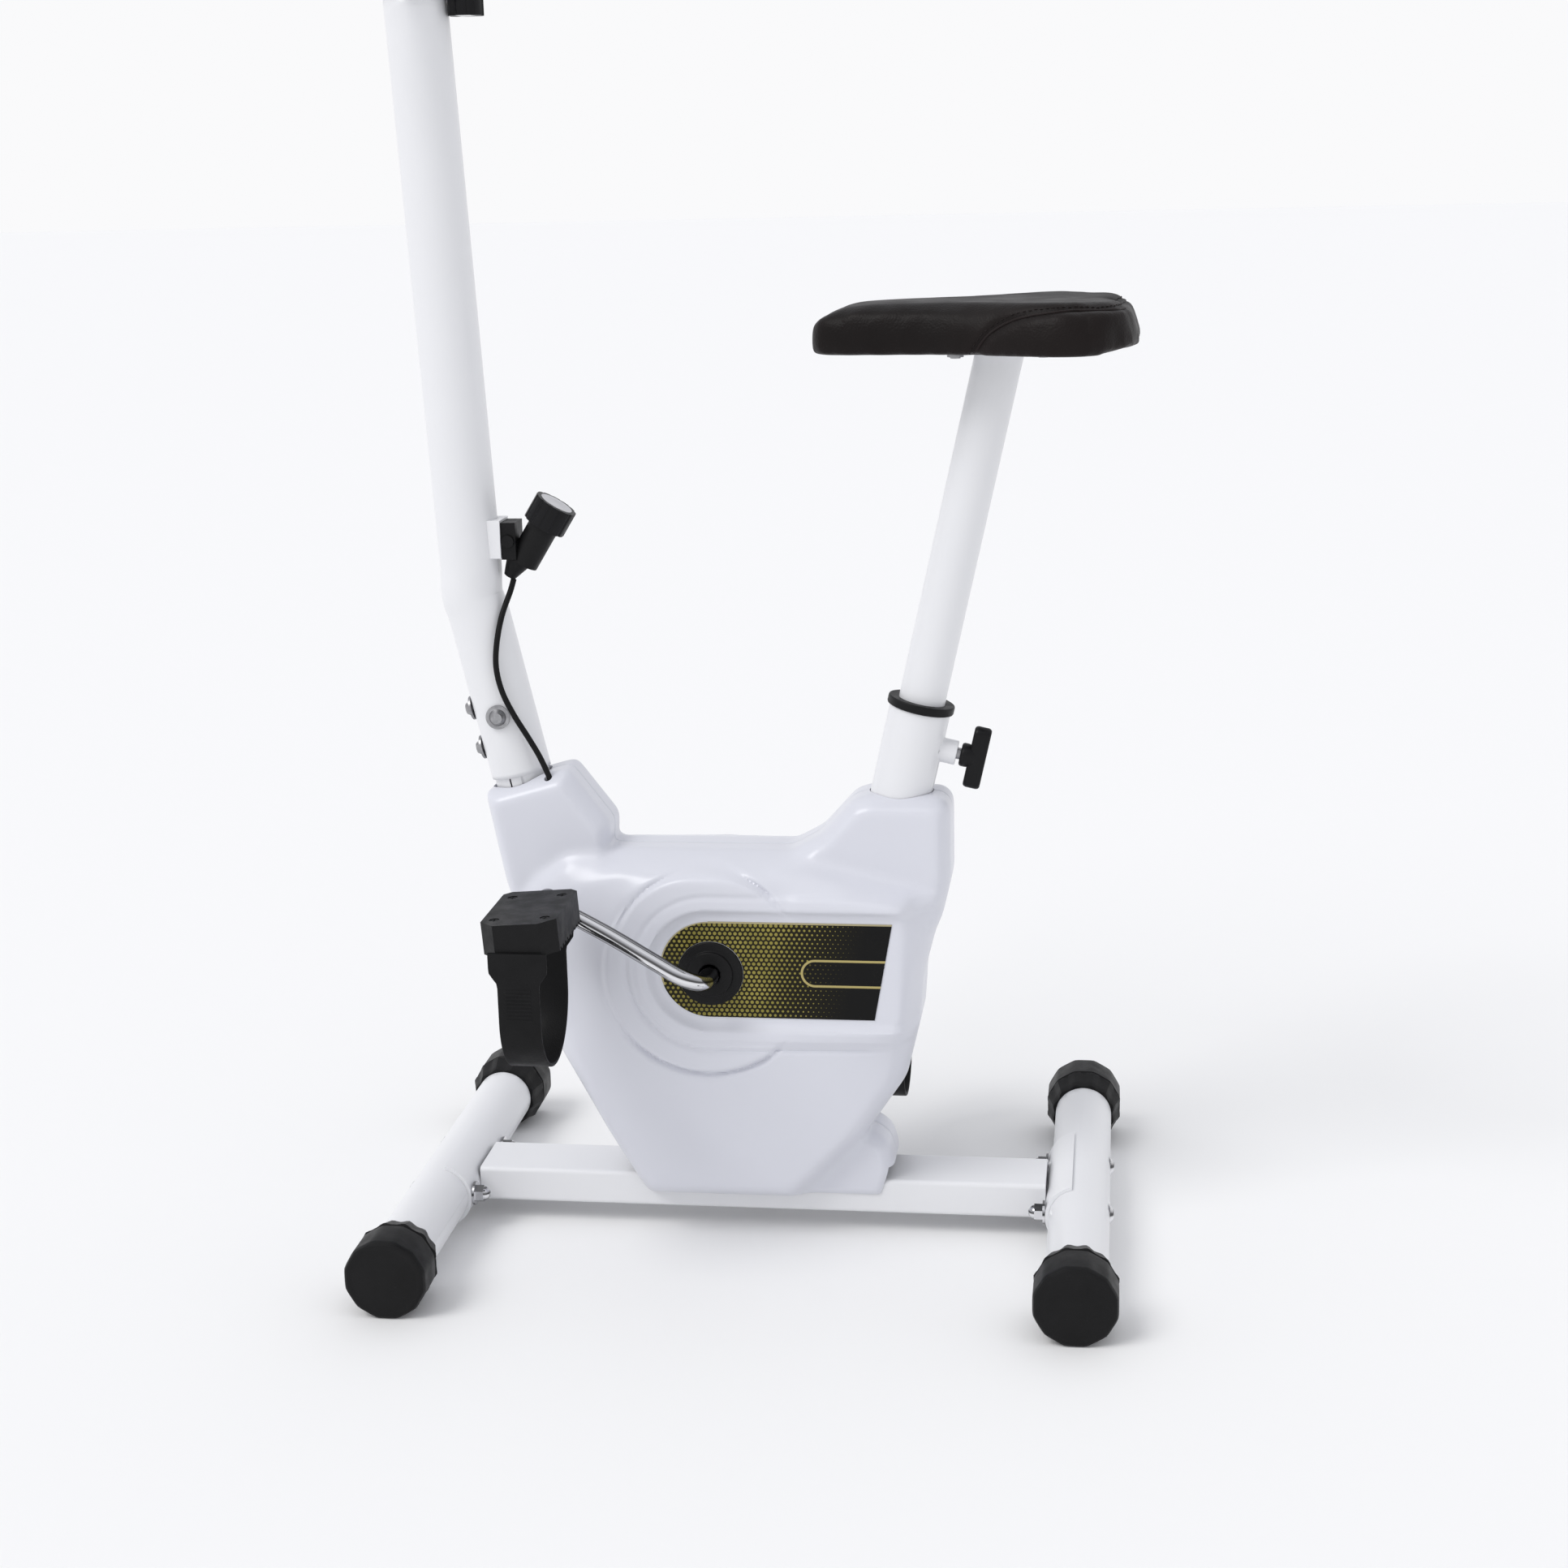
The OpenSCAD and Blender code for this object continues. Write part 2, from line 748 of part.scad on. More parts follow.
// One half of the one-piece crank: bend, arm and the eye for the pedal spindle
module crank_arm(tip_x, tip_z) {
    dir = unit([tip_x, 0, tip_z]);
    up = cross(dir, [0, 1, 0]);
    route = spline([
        [0, 62, 0], [0, 80, 0], 3 * dir + [0, 92, 0], 10 * dir + [0, 100, 0],
        22 * dir + [0, elbow_y, 0], 44 * dir + [0, elbow_y - 2, 0], 84 * dir + [0, arm_y, 0],
        (crank_length - 24) * dir + [0, arm_y, 0], (crank_length - 6) * dir + [0, arm_y, 0]], 4);
    translate([crank_x, 0, crank_z]) difference() {
        union() {
            sweep(route, arm_r, 20, up);
            rod_y(tip_x, tip_z, eye_r, arm_y - arm_r, 104);
        }
        rod_y(tip_x, tip_z, spindle_pin_r + 0.02, 80, 110);
    }
}

module crank() {
    color(chrome) {
        rod_y(crank_x, crank_z, spindle_r, -66, 66);
        mirror_y() crank_arm(pedal_dx, pedal_dz);
        crank_arm(-pedal_dx, -pedal_dz);
    }
}

module crank_pulley() {
    color(black) difference() {
        union() {
            difference() {
                rod_y(crank_x, crank_z, crank_pulley_r, pulley_y0, pulley_y1);
                rod_y(crank_x, crank_z, crank_pulley_r - 6, pulley_y0 - 1, pulley_y0 + 4);
                rod_y(crank_x, crank_z, crank_pulley_r - 6, pulley_y1 - 4, pulley_y1 + 1);
            }
            rod_y(crank_x, crank_z, 20, pulley_y0, pulley_y1 + 3);
        }
        rod_y(crank_x, crank_z, spindle_r + 0.02, 0, 100);
        for (a = [0:60:300])
            rod_y(crank_x + 41 * cos(a), crank_z + 41 * sin(a), 13, 0, 100);
    }
}

module crank_locknut() {
    color(steel) difference() {
        translate([crank_x, -34, crank_z]) rotate([90, 0, 0]) cylinder(h = 7, r = 15, $fn = 6);
        rod_y(crank_x, crank_z, spindle_r + 0.02, -50, 0);
    }
}

// Outline of the two belt runs around both pulleys, grown by extra
module belt_outline(extra) {
    hull() {
        translate([crank_x, crank_z]) circle(crank_pulley_r + extra, $fn = 96);
        translate([flywheel_x, flywheel_z]) circle(small_pulley_r + extra, $fn = 48);
    }
}

module drive_belt() {
    color(black) slab_y(pulley_y0 + 1.5, pulley_y1 - 1.5) difference() {
        belt_outline(gap + belt_t);
        belt_outline(gap);
    }
}

module flywheel_axle() {
    color(chrome) {
        rod_y(flywheel_x, flywheel_z, axle_r, -51, 58);
        translate([flywheel_x, 51.1, flywheel_z]) rotate([-90, 0, 0])
            cylinder(h = 5, r = 9.5, $fn = 6);
        translate([flywheel_x, -45.1, flywheel_z]) rotate([90, 0, 0])
            cylinder(h = 5, r = 9.5, $fn = 6);
    }
}

module flywheel() {
    color(steel) difference() {
        union() {
            rod_y(flywheel_x, flywheel_z, flywheel_r, wheel_y0, wheel_y1);
            rod_y(flywheel_x, flywheel_z, 17, wheel_y0 - 3, wheel_y1 + 6);
        }
        difference() {
            rod_y(flywheel_x, flywheel_z, flywheel_r - 12, wheel_y0 - 1, wheel_y0 + 4);
            rod_y(flywheel_x, flywheel_z, 17, wheel_y0 - 2, wheel_y0 + 5);
        }
        difference() {
            rod_y(flywheel_x, flywheel_z, flywheel_r - 12, wheel_y1 - 4, wheel_y1 + 1);
            rod_y(flywheel_x, flywheel_z, 17, wheel_y1 - 5, wheel_y1 + 2);
        }
        rod_y(flywheel_x, flywheel_z, 12.02, -60, 60);
    }
}

module flywheel_pulley() {
    color(steel) difference() {
        union() {
            rod_y(flywheel_x, flywheel_z, small_pulley_r, wheel_y1 + 6.1, pulley_y1 - 1);
            rod_y(flywheel_x, flywheel_z, small_pulley_r + 2.5, pulley_y0 - 2, pulley_y0);
        }
        rod_y(flywheel_x, flywheel_z, 12.02, 30, 60);
        rod_y(flywheel_x, flywheel_z, 8, -60, 60);
    }
}

module flywheel_bearings() {
    color(chrome) for (y = [-37, -24, 36])
        difference() {
            rod_y(flywheel_x, flywheel_z, 12, y, y + 8);
            rod_y(flywheel_x, flywheel_z, axle_r + 0.03, y - 1, y + 9);
        }
}

// Part of a ring about the flywheel's centre, from angle a0 to angle a1
module flywheel_sector(r0, r1, a0, a1) {
    slab_y(wheel_y0 - 2, carrier_y1) intersection() {
        translate([flywheel_x, flywheel_z]) difference() {
            circle(r1, $fn = 96);
            circle(r0, $fn = 96);
        }
        translate([flywheel_x, flywheel_z]) polygon([
            [0, 0], [150 * cos(a0), 150 * sin(a0)],
            [160 * cos((a0 + a1) / 2), 160 * sin((a0 + a1) / 2)],
            [150 * cos(a1), 150 * sin(a1)]]);
    }
}

// Curved carrier with its pivot eye, the lever for the cable, and the cable's inner wire
module magnet_bracket() {
    color(steel) {
        difference() {
            union() {
                flywheel_sector(flywheel_r + 9, flywheel_r + 12, 128, 212);
                rod_y(pivot[0], pivot[2], 8, wheel_y0 - 2, carrier_y1);
                translate([lever_x - 6, wheel_y0 - 2, pivot[2] - 3])
                    cube([pivot[0] - lever_x, carrier_y1 - wheel_y0 + 2, 6]);
            }
            rod_y(pivot[0], pivot[2], pivot_pin_r + 0.05, -60, 0);
        }
        translate([lever_x, -34, pivot[2] + 2]) cylinder(h = 246.8 - pivot[2] - 2, r = 0.8);
    }
}

module magnets() {
    color(black) for (a = [150, 172, 194])
        flywheel_sector(flywheel_r + 4, flywheel_r + 8.95, a - 7, a + 7);
}

// Small torsion spring on the bracket's pin
module bracket_spring() {
    color(chrome) translate([pivot[0], -42.2, pivot[2]]) rotate([-90, 0, 0])
        for (i = [0:2]) translate([0, 0, 1.21 * i])
            rotate_extrude($fn = 32) translate([pivot_pin_r + 1, 0]) circle(0.6, $fn = 12);
}

// ---------- pedals, drawn about their own spindle on the right side ----------
module on_right_pedal(tip = 0) {
    translate([crank_x - pedal_dx, 0, crank_z - pedal_dz]) rotate([0, -tip, 0]) children();
}

module on_left_pedal(tip = 0) {
    translate([crank_x + pedal_dx, 0, crank_z + pedal_dz]) rotate([0, -tip, 0]) mirror_y() children();
}

module spindle() {
    rod_y(0, 0, spindle_pin_r, 91, 196);
    rod_y(0, 0, 9, 104.1, 107);
}

module pedal_outline() {
    w = pedal_w / 2;
    y0 = pedal_y - pedal_len / 2;
    y1 = pedal_y + pedal_len / 2;
    polygon([[-w, y0 + 6], [-w + 6, y0], [w - 6, y0], [w, y0 + 6], [w, y1 - 12], [w - 12, y1],
        [-w + 12, y1], [-w, y1 - 12]]);
}

// Closed block with a ribbed tread, which faces down while the pedal hangs free
module pedal() {
    difference() {
        translate([0, 0, -pedal_h / 2]) linear_extrude(pedal_h) pedal_outline();
        rod_y(0, 0, spindle_pin_r + 0.05, 90, pedal_y + pedal_len / 2 - 3);
        for (y = [pedal_y - 34:8:pedal_y + 36])
            translate([-40, y - 1.5, -pedal_h / 2 - 1]) cube([80, 3, 3]);
        for (sx = [-1, 1]) for (y = [pedal_y - 30, pedal_y + 30])
            translate([sx * 20, y, pedal_h / 2 - 2.6]) cylinder(h = 5, r = 4);
    }
}

module pedal_screws() {
    for (sx = [-1, 1]) for (y = [pedal_y - 30, pedal_y + 30])
        translate([sx * 20, y, pedal_h / 2 - 2.5]) difference() {
            cylinder(h = 2, r = 3.6);
            translate([0, 0, 1.4]) cube([4.6, 0.9, 2], center = true);
            translate([0, 0, 1.4]) cube([0.9, 4.6, 2], center = true);
        }
}

// Foot strap: a hanging U whose ends are screwed to the pedal's two faces, notched for the spindle
module strap() {
    difference() {
        strap_band();
        rod_y(0, 0, 9.4, 90, pedal_y);
    }
}

module strap_band() {
    y0 = pedal_y - pedal_len / 2 - strap_t - 0.1;
    y1 = pedal_y + pedal_len / 2 + strap_t + 0.1;
    half = (y1 - y0) / 2;
    legs = -66;
    w = strap_w / 2;
    top_w = strap_top_w / 2;
    intersection() {
        translate([-top_w, 0, 0]) rotate([90, 0, 90]) linear_extrude(strap_top_w)
            translate([(y0 + y1) / 2, 0]) difference() {
                union() {
                    translate([-half, legs]) square([2 * half, 60]);
                    translate([0, legs]) circle(half, $fn = 96);
                }
                translate([-half + strap_t, legs]) square([2 * (half - strap_t), 70]);
                translate([0, legs]) circle(half - strap_t, $fn = 96);
            }
        slab_y(0, 300) polygon([[-top_w, 0], [-top_w, -24], [-w, -36], [-w, -130], [w, -130],
            [w, -36], [top_w, -24], [top_w, 0]]);
    }
}

module left_spindle() {
    color(chrome) on_left_pedal() spindle();
}

module right_spindle() {
    color(chrome) on_right_pedal() spindle();
}

module left_pedal() {
    color(black) on_left_pedal(pedal_tip) pedal();
}

module right_pedal() {
    color(black) on_right_pedal(pedal_tip) pedal();
}

module left_strap() {
    color(black) on_left_pedal() strap();
}

module right_strap() {
    color(black) on_right_pedal() strap();
}

module left_pedal_screws() {
    color(black) on_left_pedal(pedal_tip) pedal_screws();
}

module right_pedal_screws() {
    color(black) on_right_pedal(pedal_tip) pedal_screws();
}

// ---------- handlebar and console ----------
function bar_scale(p) = [p[0], p[1] * grip_spacing / 444, p[2]];
function bar_half() = spline([for (p = BAR) clamp_at + bar_scale(p)], 3);
function flip_y(p) = [p[0], -p[1], p[2]];
function bar_route() = concat(
    [for (i = [len(bar_half()) - 1:-1:1]) flip_y(bar_half()[i])], bar_half());
function grip_route() = [for (i = [grip_from:len(bar_half()) - 1]) bar_half()[i]];

module handlebar() {
    color(white) difference() {
        union() {
            sweep(bar_route(), bar_r - 0.02, 20, [0, 0, 1]);
            rod_y(clamp_at[0], clamp_at[2], bar_r, -29, 29);
        }
        sweep(bar_route(), bar_r - 2, 10, [0, 0, 1]);
    }
}

module grip() {
    end = grip_route()[len(grip_route()) - 1];
    back = unit(end - grip_route()[len(grip_route()) - 2]);
    difference() {
        sweep(concat(grip_route(), [end + 6 * back]), bar_r + 3.6, 20, [0, 0, 1]);
        sweep(grip_route(), bar_r + 0.03, 20, [0, 0, 1]);
    }
}

module grips() {
    color(black) grip();
    color(black) mirror_y() grip();
}

// Welded split clamp on the post's top
module handlebar_clamp() {
    color(white) difference() {
        union() {
            rod_y(clamp_at[0], clamp_at[2], 20.95, -24, 24);
            translate(clamp_at + [12, -16, -12]) cube([clamp_knob_x - 2, 32, 24]);
        }
        rod_y(clamp_at[0], clamp_at[2], bar_r + 0.05, -30, 30);
        translate(clamp_at + [10, -25, -1.5]) cube([60, 50, 3]);
        translate(clamp_at + [clamp_knob_x, 0, -20]) cylinder(h = 50, r = 4.1);
    }
}

module clamp_knob() {
    translate(clamp_at + [clamp_knob_x, 0, 0]) {
        color(chrome) translate([0, 0, -16]) cylinder(h = 32, r = 4);
        color(black) translate([0, 0, -34]) difference() {
            cylinder(h = 20, r = 14);
            for (a = [0:60:300]) rotate([0, 0, a]) translate([17, 0, -1]) cylinder(h = 30, r = 5);
        }
    }
}

module on_console() {
    translate(case_at) rotate([0, case_tilt, 0]) children();
}

// Bent strap from the clamp up to the back of the console
module console_bracket() {
    color(white) difference() {
        union() {
            translate([-277, -18, 1030]) cube([3, 36, 62]);
            translate([-277, -18, 1030]) cube([14, 36, 4]);
        }
        rod_y(clamp_at[0], clamp_at[2], 21, -40, 40);
        on_console() translate([-60, -80, -13.1]) cube([120, 160, 40]);
    }
}

module console_case() {
    color(black) on_console() difference() {
        translate([0, 0, -13]) linear_extrude(26) round_rect(88, 136, 12);
        translate([-8, 0, 10.5]) linear_extrude(5) round_rect(46, 96, 4);
        translate([31, 0, 4]) cylinder(h = 20, r = 8.3);
    }
}

module console_screen() {
    color([0.45, 0.52, 0.46]) on_console()
        translate([-8, 0, 10.6]) linear_extrude(1.8) round_rect(45.6, 95.6, 3.8);
}

module console_button() {
    color([0.75, 0.2, 0.15]) on_console() translate([31, 0, 7]) cylinder(h = 8, r = 8);
}

main_beam();
front_saddle();
rear_saddle();
seat_tube();
front_upright();
crank_housing();
flywheel_bracket();
front_stabilizer();
rear_stabilizer();
front_end_caps();
rear_end_caps();
stabilizer_bolts();
stabilizer_nuts();
left_shell();
right_shell();
shell_screws();
side_decals();
dust_caps();
handlebar_post();
post_bolts();
tension_bracket();
tension_housing();
tension_cable();
seat_collar();
crank_cups();
drive_belt();
flywheel_axle();
handlebar_clamp();
console_bracket();
console_case();
console_screen();
crank();
crank_pulley();
crank_bearings();
crank_locknut();
left_spindle();
right_spindle();
left_pedal();
right_pedal();
left_strap();
right_strap();
left_pedal_screws();
right_pedal_screws();
flywheel();
flywheel_pulley();
flywheel_bearings();
magnet_bracket();
magnets();
bracket_spring();
tension_knob();
seat_post();
seat_pan();
seat_cushion();
seat_nuts();
seat_knob();
handlebar();
grips();
clamp_knob();
console_button();
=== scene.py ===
import math

import bmesh
import bpy
import numpy as np
from mathutils import Matrix, Vector
from mathutils.bvhtree import BVHTree
from mathutils.geometry import delaunay_2d_cdt


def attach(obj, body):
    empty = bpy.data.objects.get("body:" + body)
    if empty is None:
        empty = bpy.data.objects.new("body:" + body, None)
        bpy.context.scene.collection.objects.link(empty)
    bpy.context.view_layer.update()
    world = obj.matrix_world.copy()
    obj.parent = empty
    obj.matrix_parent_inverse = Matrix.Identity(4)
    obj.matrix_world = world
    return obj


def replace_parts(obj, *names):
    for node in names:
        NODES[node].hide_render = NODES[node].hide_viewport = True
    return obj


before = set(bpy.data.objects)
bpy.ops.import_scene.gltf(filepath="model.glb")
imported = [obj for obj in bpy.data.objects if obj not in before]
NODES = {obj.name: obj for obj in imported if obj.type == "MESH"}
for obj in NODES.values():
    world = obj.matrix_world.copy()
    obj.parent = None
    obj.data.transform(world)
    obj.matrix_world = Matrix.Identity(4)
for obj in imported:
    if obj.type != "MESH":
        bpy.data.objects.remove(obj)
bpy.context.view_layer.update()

# Exercise bike: smooth shells, cushion, straps and finishes round the CAD frame. Metres, +Z up.
MM = 0.001

# The photograph's viewpoint: place in metres, turn in degrees
VIEW_PLACE = (0.2955, -1.9499, 0.8779)
VIEW_YAW, VIEW_PITCH, VIEW_ROLL = 7.89, 14.12, -1.29
LENS, SENSOR = 56.64, 36.0

# Driving places, as in the CAD model
CRANK = Vector((-0.030, 0.0, 0.239))
CRANK_ARM = 0.143
CRANK_ANGLE = math.radians(28.6)
PEDAL_OFFSET = Vector((-CRANK_ARM * math.cos(CRANK_ANGLE), 0, CRANK_ARM * math.sin(CRANK_ANGLE)))
POST_LOW = Vector((-0.197, 0, 0.400))
POST_BEND = Vector((-0.228, 0, 0.541))
POST_TOP = Vector((-0.250, 0, 1.012))
CLAMP = Vector((-0.251, 0, 1.028))
SEAT_LEAN = math.radians(12.8)
SEAT_FOOT = Vector((0.0473, 0, 0.048))
SEAT_AXIS = Vector((math.sin(SEAT_LEAN), 0, math.cos(SEAT_LEAN)))
SEAT_ACROSS = Vector((math.cos(SEAT_LEAN), 0, -math.sin(SEAT_LEAN)))
KNOB_ROOT = SEAT_FOOT + 0.380 * SEAT_AXIS
CABLE_LEAN = math.radians(18)
CABLE_HOLE = Vector((-0.172, -0.026, 0.408))
CABLE_AXIS = Vector((-math.sin(CABLE_LEAN), 0, math.cos(CABLE_LEAN)))
CONTROL_LEAN = math.radians(32)
CONTROL = Vector((-0.161, 0, 0.606))
CONTROL_AXIS = Vector((math.sin(CONTROL_LEAN), 0, math.cos(CONTROL_LEAN)))


# ---------------------------------------------------------------- camera and stage
def add_camera():
    data = bpy.data.cameras.new("camera")
    data.lens = LENS
    data.sensor_width = SENSOR
    camera = bpy.data.objects.new("camera", data)
    bpy.context.collection.objects.link(camera)
    yaw, pitch, roll = (math.radians(turn) for turn in (VIEW_YAW, VIEW_PITCH, VIEW_ROLL))
    ahead = Vector((-math.sin(yaw) * math.cos(pitch), math.cos(yaw) * math.cos(pitch), -math.sin(pitch)))
    side = Vector((math.cos(yaw), math.sin(yaw), 0))
    up = side.cross(ahead)
    right = math.cos(roll) * side + math.sin(roll) * up
    top = -math.sin(roll) * side + math.cos(roll) * up
    turn = Matrix((right, top, -ahead)).transposed()
    camera.matrix_world = Matrix.Translation(VIEW_PLACE) @ turn.to_4x4()
    bpy.context.scene.camera = camera


def studio_world():
    """An even pale horizon that meets the floor, with a softer sky above it."""
    world = bpy.data.worlds.new("studio")
    world.use_nodes = True
    tree = world.node_tree
    parts = tree.nodes.new("ShaderNodeSeparateXYZ")
    tree.links.new(tree.nodes.new("ShaderNodeTexCoord").outputs["Generated"], parts.inputs[0])
    ramp = tree.nodes.new("ShaderNodeValToRGB")
    tree.links.new(parts.outputs["Z"], ramp.inputs[0])
    stops = ramp.color_ramp.elements
    stops[0].position, stops[0].color = 0.12, (0.955, 0.955, 0.965, 1)
    stops[1].position, stops[1].color = 0.45, (0.60, 0.605, 0.64, 1)
    top = stops.new(0.85)
    top.color = (0.86, 0.87, 0.90, 1)
    background = tree.nodes["Background"]
    tree.links.new(ramp.outputs[0], background.inputs["Color"])
    background.inputs["Strength"].default_value = 1.0
    return world


def add_stage():
    mesh = bpy.data.meshes.new("floor")
    half = 40.0
    corners = [(-half, -half, 0), (half, -half, 0), (half, half, 0), (-half, half, 0)]
    mesh.from_pydata(corners, [], [(0, 1, 2, 3)])
    floor = bpy.data.objects.new("floor", mesh)
    bpy.context.collection.objects.link(floor)
    mat = bpy.data.materials.new("floor_paper")
    mat.use_nodes = True
    shader = mat.node_tree.nodes["Principled BSDF"]
    shader.inputs["Base Color"].default_value = (0.90, 0.90, 0.90, 1)
    shader.inputs["Roughness"].default_value = 0.9
    mesh.materials.append(mat)
    bpy.context.scene.world = studio_world()
    sun = bpy.data.lights.new("key", "SUN")
    sun.energy = 1.15
    sun.angle = math.radians(28)
    sun.color = (1.0, 0.99, 0.97)
    lamp = bpy.data.objects.new("key", sun)
    bpy.context.collection.objects.link(lamp)
    lamp.rotation_euler = Vector((0.62, 0.55, -0.95)).to_track_quat("-Z", "Y").to_euler()
    bpy.context.scene.view_settings.view_transform = "Standard"


# ---------------------------------------------------------------- materials
class Nodes:
    """A material's node tree with short ways to add what the finishes share."""

    def __init__(self, name):
        self.mat = bpy.data.materials.new(name)
        self.mat.use_nodes = True
        self.tree = self.mat.node_tree
        self.shader = self.tree.nodes["Principled BSDF"]
        self.place = self.tree.nodes.new("ShaderNodeTexCoord").outputs["Object"]

    def set(self, **values):
        for key, value in values.items():
            self.shader.inputs[key.replace("_", " ")].default_value = value
        return self

    def add(self, kind, **values):
        node = self.tree.nodes.new(kind)
        for key, value in values.items():
            setattr(node, key, value)
        return node

    def link(self, a, b):
        self.tree.links.new(a, b)

    def math(self, operation, a, b=0.0, c=0.0):
        node = self.add("ShaderNodeMath", operation=operation)
        for socket, value in zip(node.inputs, (a, b, c)):
            if isinstance(value, (int, float)):
                socket.default_value = value
            else:
                self.link(value, socket)
        return node.outputs[0]

    def times(self, a, b):
        return self.math("MULTIPLY", a, b)

    def length(self, a, b):
        return self.math("SQRT", self.math("ADD", self.times(a, a), self.times(b, b)))

    def noise(self, scale, detail=3.0, stretch=(1, 1, 1)):
        mapping = self.add("ShaderNodeMapping")
        mapping.inputs["Scale"].default_value = stretch
        self.link(self.place, mapping.inputs["Vector"])
        node = self.add("ShaderNodeTexNoise")
        node.inputs["Scale"].default_value = scale
        node.inputs["Detail"].default_value = detail
        self.link(mapping.outputs[0], node.inputs["Vector"])
        return node.outputs["Fac"]

    def cells(self, scale, feature="F1"):
        node = self.add("ShaderNodeTexVoronoi", feature=feature)
        node.inputs["Scale"].default_value = scale
        self.link(self.place, node.inputs["Vector"])
        return node.outputs["Distance"]

    def spread(self, value, low, high, out_low=0.0, out_high=1.0):
        node = self.add("ShaderNodeMapRange")
        self.link(value, node.inputs["Value"])
        for key, number in (("From Min", low), ("From Max", high), ("To Min", out_low), ("To Max", out_high)):
            node.inputs[key].default_value = number
        return node.outputs[0]

    def mix(self, factor, a, b):
        node = self.add("ShaderNodeMix", data_type="RGBA")
        if isinstance(factor, (int, float)):
            node.inputs["Factor"].default_value = factor
        else:
            self.link(factor, node.inputs["Factor"])
        for socket, value in ((node.inputs[6], a), (node.inputs[7], b)):
            if isinstance(value, tuple):
                socket.default_value = (*value, 1)
            else:
                self.link(value, socket)
        return node.outputs[2]

    def tone(self, scale, detail, dark, light, low=0.3, high=0.7):
        """Two colours mixed by a slow noise."""
        return self.mix(self.spread(self.noise(scale, detail), low, high), dark, light)

    def patchy(self, scale, detail, sleek, dull, low=0.3, high=0.7):
        """Roughness that wanders between two values."""
        self.rough(self.spread(self.noise(scale, detail), low, high, sleek, dull))

    def edge_wear(self, low=0.52, high=0.62):
        """1 along convex edges, from the mesh's own curvature."""
        return self.spread(self.add("ShaderNodeNewGeometry").outputs["Pointiness"], low, high)

    def bump(self, height, strength, distance):
        node = self.add("ShaderNodeBump")
        node.inputs["Strength"].default_value = strength
        node.inputs["Distance"].default_value = distance
        self.link(height, node.inputs["Height"])
        self.link(node.outputs[0], self.shader.inputs["Normal"])

    def colour(self, output):
        self.link(output, self.shader.inputs["Base Color"])

    def rough(self, output):
        self.link(output, self.shader.inputs["Roughness"])


def powder_coat():
    n = Nodes("white_powder_coat")
    n.set(Coat_Weight=0.2, Coat_Roughness=0.2)
    tone = n.noise(14.0, 3.0)
    n.colour(n.mix(n.spread(tone, 0.3, 0.7), (0.775, 0.78, 0.80), (0.785, 0.79, 0.81)))
    n.patchy(25.0, 2.0, 0.32, 0.36, 0.1, 0.9)
    n.bump(n.noise(620.0, 1.0), 0.05, 0.0004)
    return n.mat


def shell_plastic():
    n = Nodes("white_shell_plastic")
    n.set(Coat_Weight=0.25, Coat_Roughness=0.18, Specular_IOR_Level=0.45)
    n.colour(n.mix(n.spread(n.noise(6.0, 2.0), 0.1, 0.9), (0.672, 0.682, 0.742), (0.680, 0.690, 0.750)))
    n.patchy(18.0, 2.0, 0.33, 0.37, 0.1, 0.9)
    n.bump(n.noise(260.0, 1.0), 0.03, 0.0005)
    return n.mat


def moulded_black(name, colour, rough, grain, strength):
    n = Nodes(name)
    n.set(Specular_IOR_Level=0.17)
    dark = tuple(0.7 * c for c in colour)
    base = n.tone(30.0, 4.0, dark, colour)
    worn = tuple(1.8 * c + 0.006 for c in colour)
    n.colour(n.mix(n.times(n.edge_wear(0.54, 0.70), 0.35), base, worn))
    n.patchy(80.0, 3.0, rough - 0.06, rough + 0.08)
    n.bump(n.cells(grain), strength, 0.0004)
    return n.mat


def vinyl():
    n = Nodes("seat_vinyl_black")
    n.set(Specular_IOR_Level=0.14, Sheen_Weight=0.02, Sheen_Roughness=0.5)
    patch = n.noise(9.0, 5.0)
    base = n.mix(n.spread(patch, 0.3, 0.7), (0.0045, 0.0030, 0.0028), (0.0085, 0.0058, 0.0053))
    n.colour(n.mix(n.times(n.edge_wear(0.505, 0.56), 0.25), base, (0.035, 0.024, 0.024)))
    n.patchy(26.0, 4.0, 0.40, 0.56)
    grain = n.math("ADD", n.cells(700.0, "SMOOTH_F1"), n.times(n.noise(160.0, 4.0), 0.7))
    n.bump(grain, 0.30, 0.0007)
    return n.mat


def chrome():
    """Plated metal. Its base colour holds a painted reflection: bands by the surface's own slope stand in for
    the dark and bright sides of a room.
    """
    n = Nodes("chrome_plate")
    n.set(Metallic=1.0)
    slope = n.add("ShaderNodeSeparateXYZ")
    n.link(n.add("ShaderNodeTexCoord").outputs["Normal"], slope.inputs[0])
    # Painted reflection: greys picked by the slope of the object's normal, dark and bright bands as a room
    # would reflect them
    painted_reflection_bands = n.add("ShaderNodeValToRGB")
    n.link(n.spread(slope.outputs["Z"], -1.0, 1.0), painted_reflection_bands.inputs[0])
    stops = painted_reflection_bands.color_ramp.elements
    for stop, (z, grey) in zip((stops[0], stops[1]), ((-1.0, 0.10), (1.0, 0.22))):
        stop.position, stop.color = 0.5 + 0.5 * z, (grey, grey, grey * 1.03, 1)
    for z, grey in ((-0.68, 0.10), (-0.50, 0.62), (-0.10, 0.86), (0.06, 0.72), (0.14, 0.07), (0.28, 0.06),
                    (0.42, 0.50), (0.62, 0.78), (0.80, 0.50), (0.87, 0.10)):
        stops.new(0.5 + 0.5 * z).color = (grey, grey, grey * 1.03, 1)
    n.colour(n.mix(n.spread(n.noise(20.0, 3.0), 0.3, 0.7, 0.0, 0.12), painted_reflection_bands.outputs[0], (0.40, 0.40, 0.41)))
    n.patchy(90.0, 4.0, 0.06, 0.16)
    n.bump(n.noise(500.0, 2.0), 0.03, 0.0003)
    return n.mat


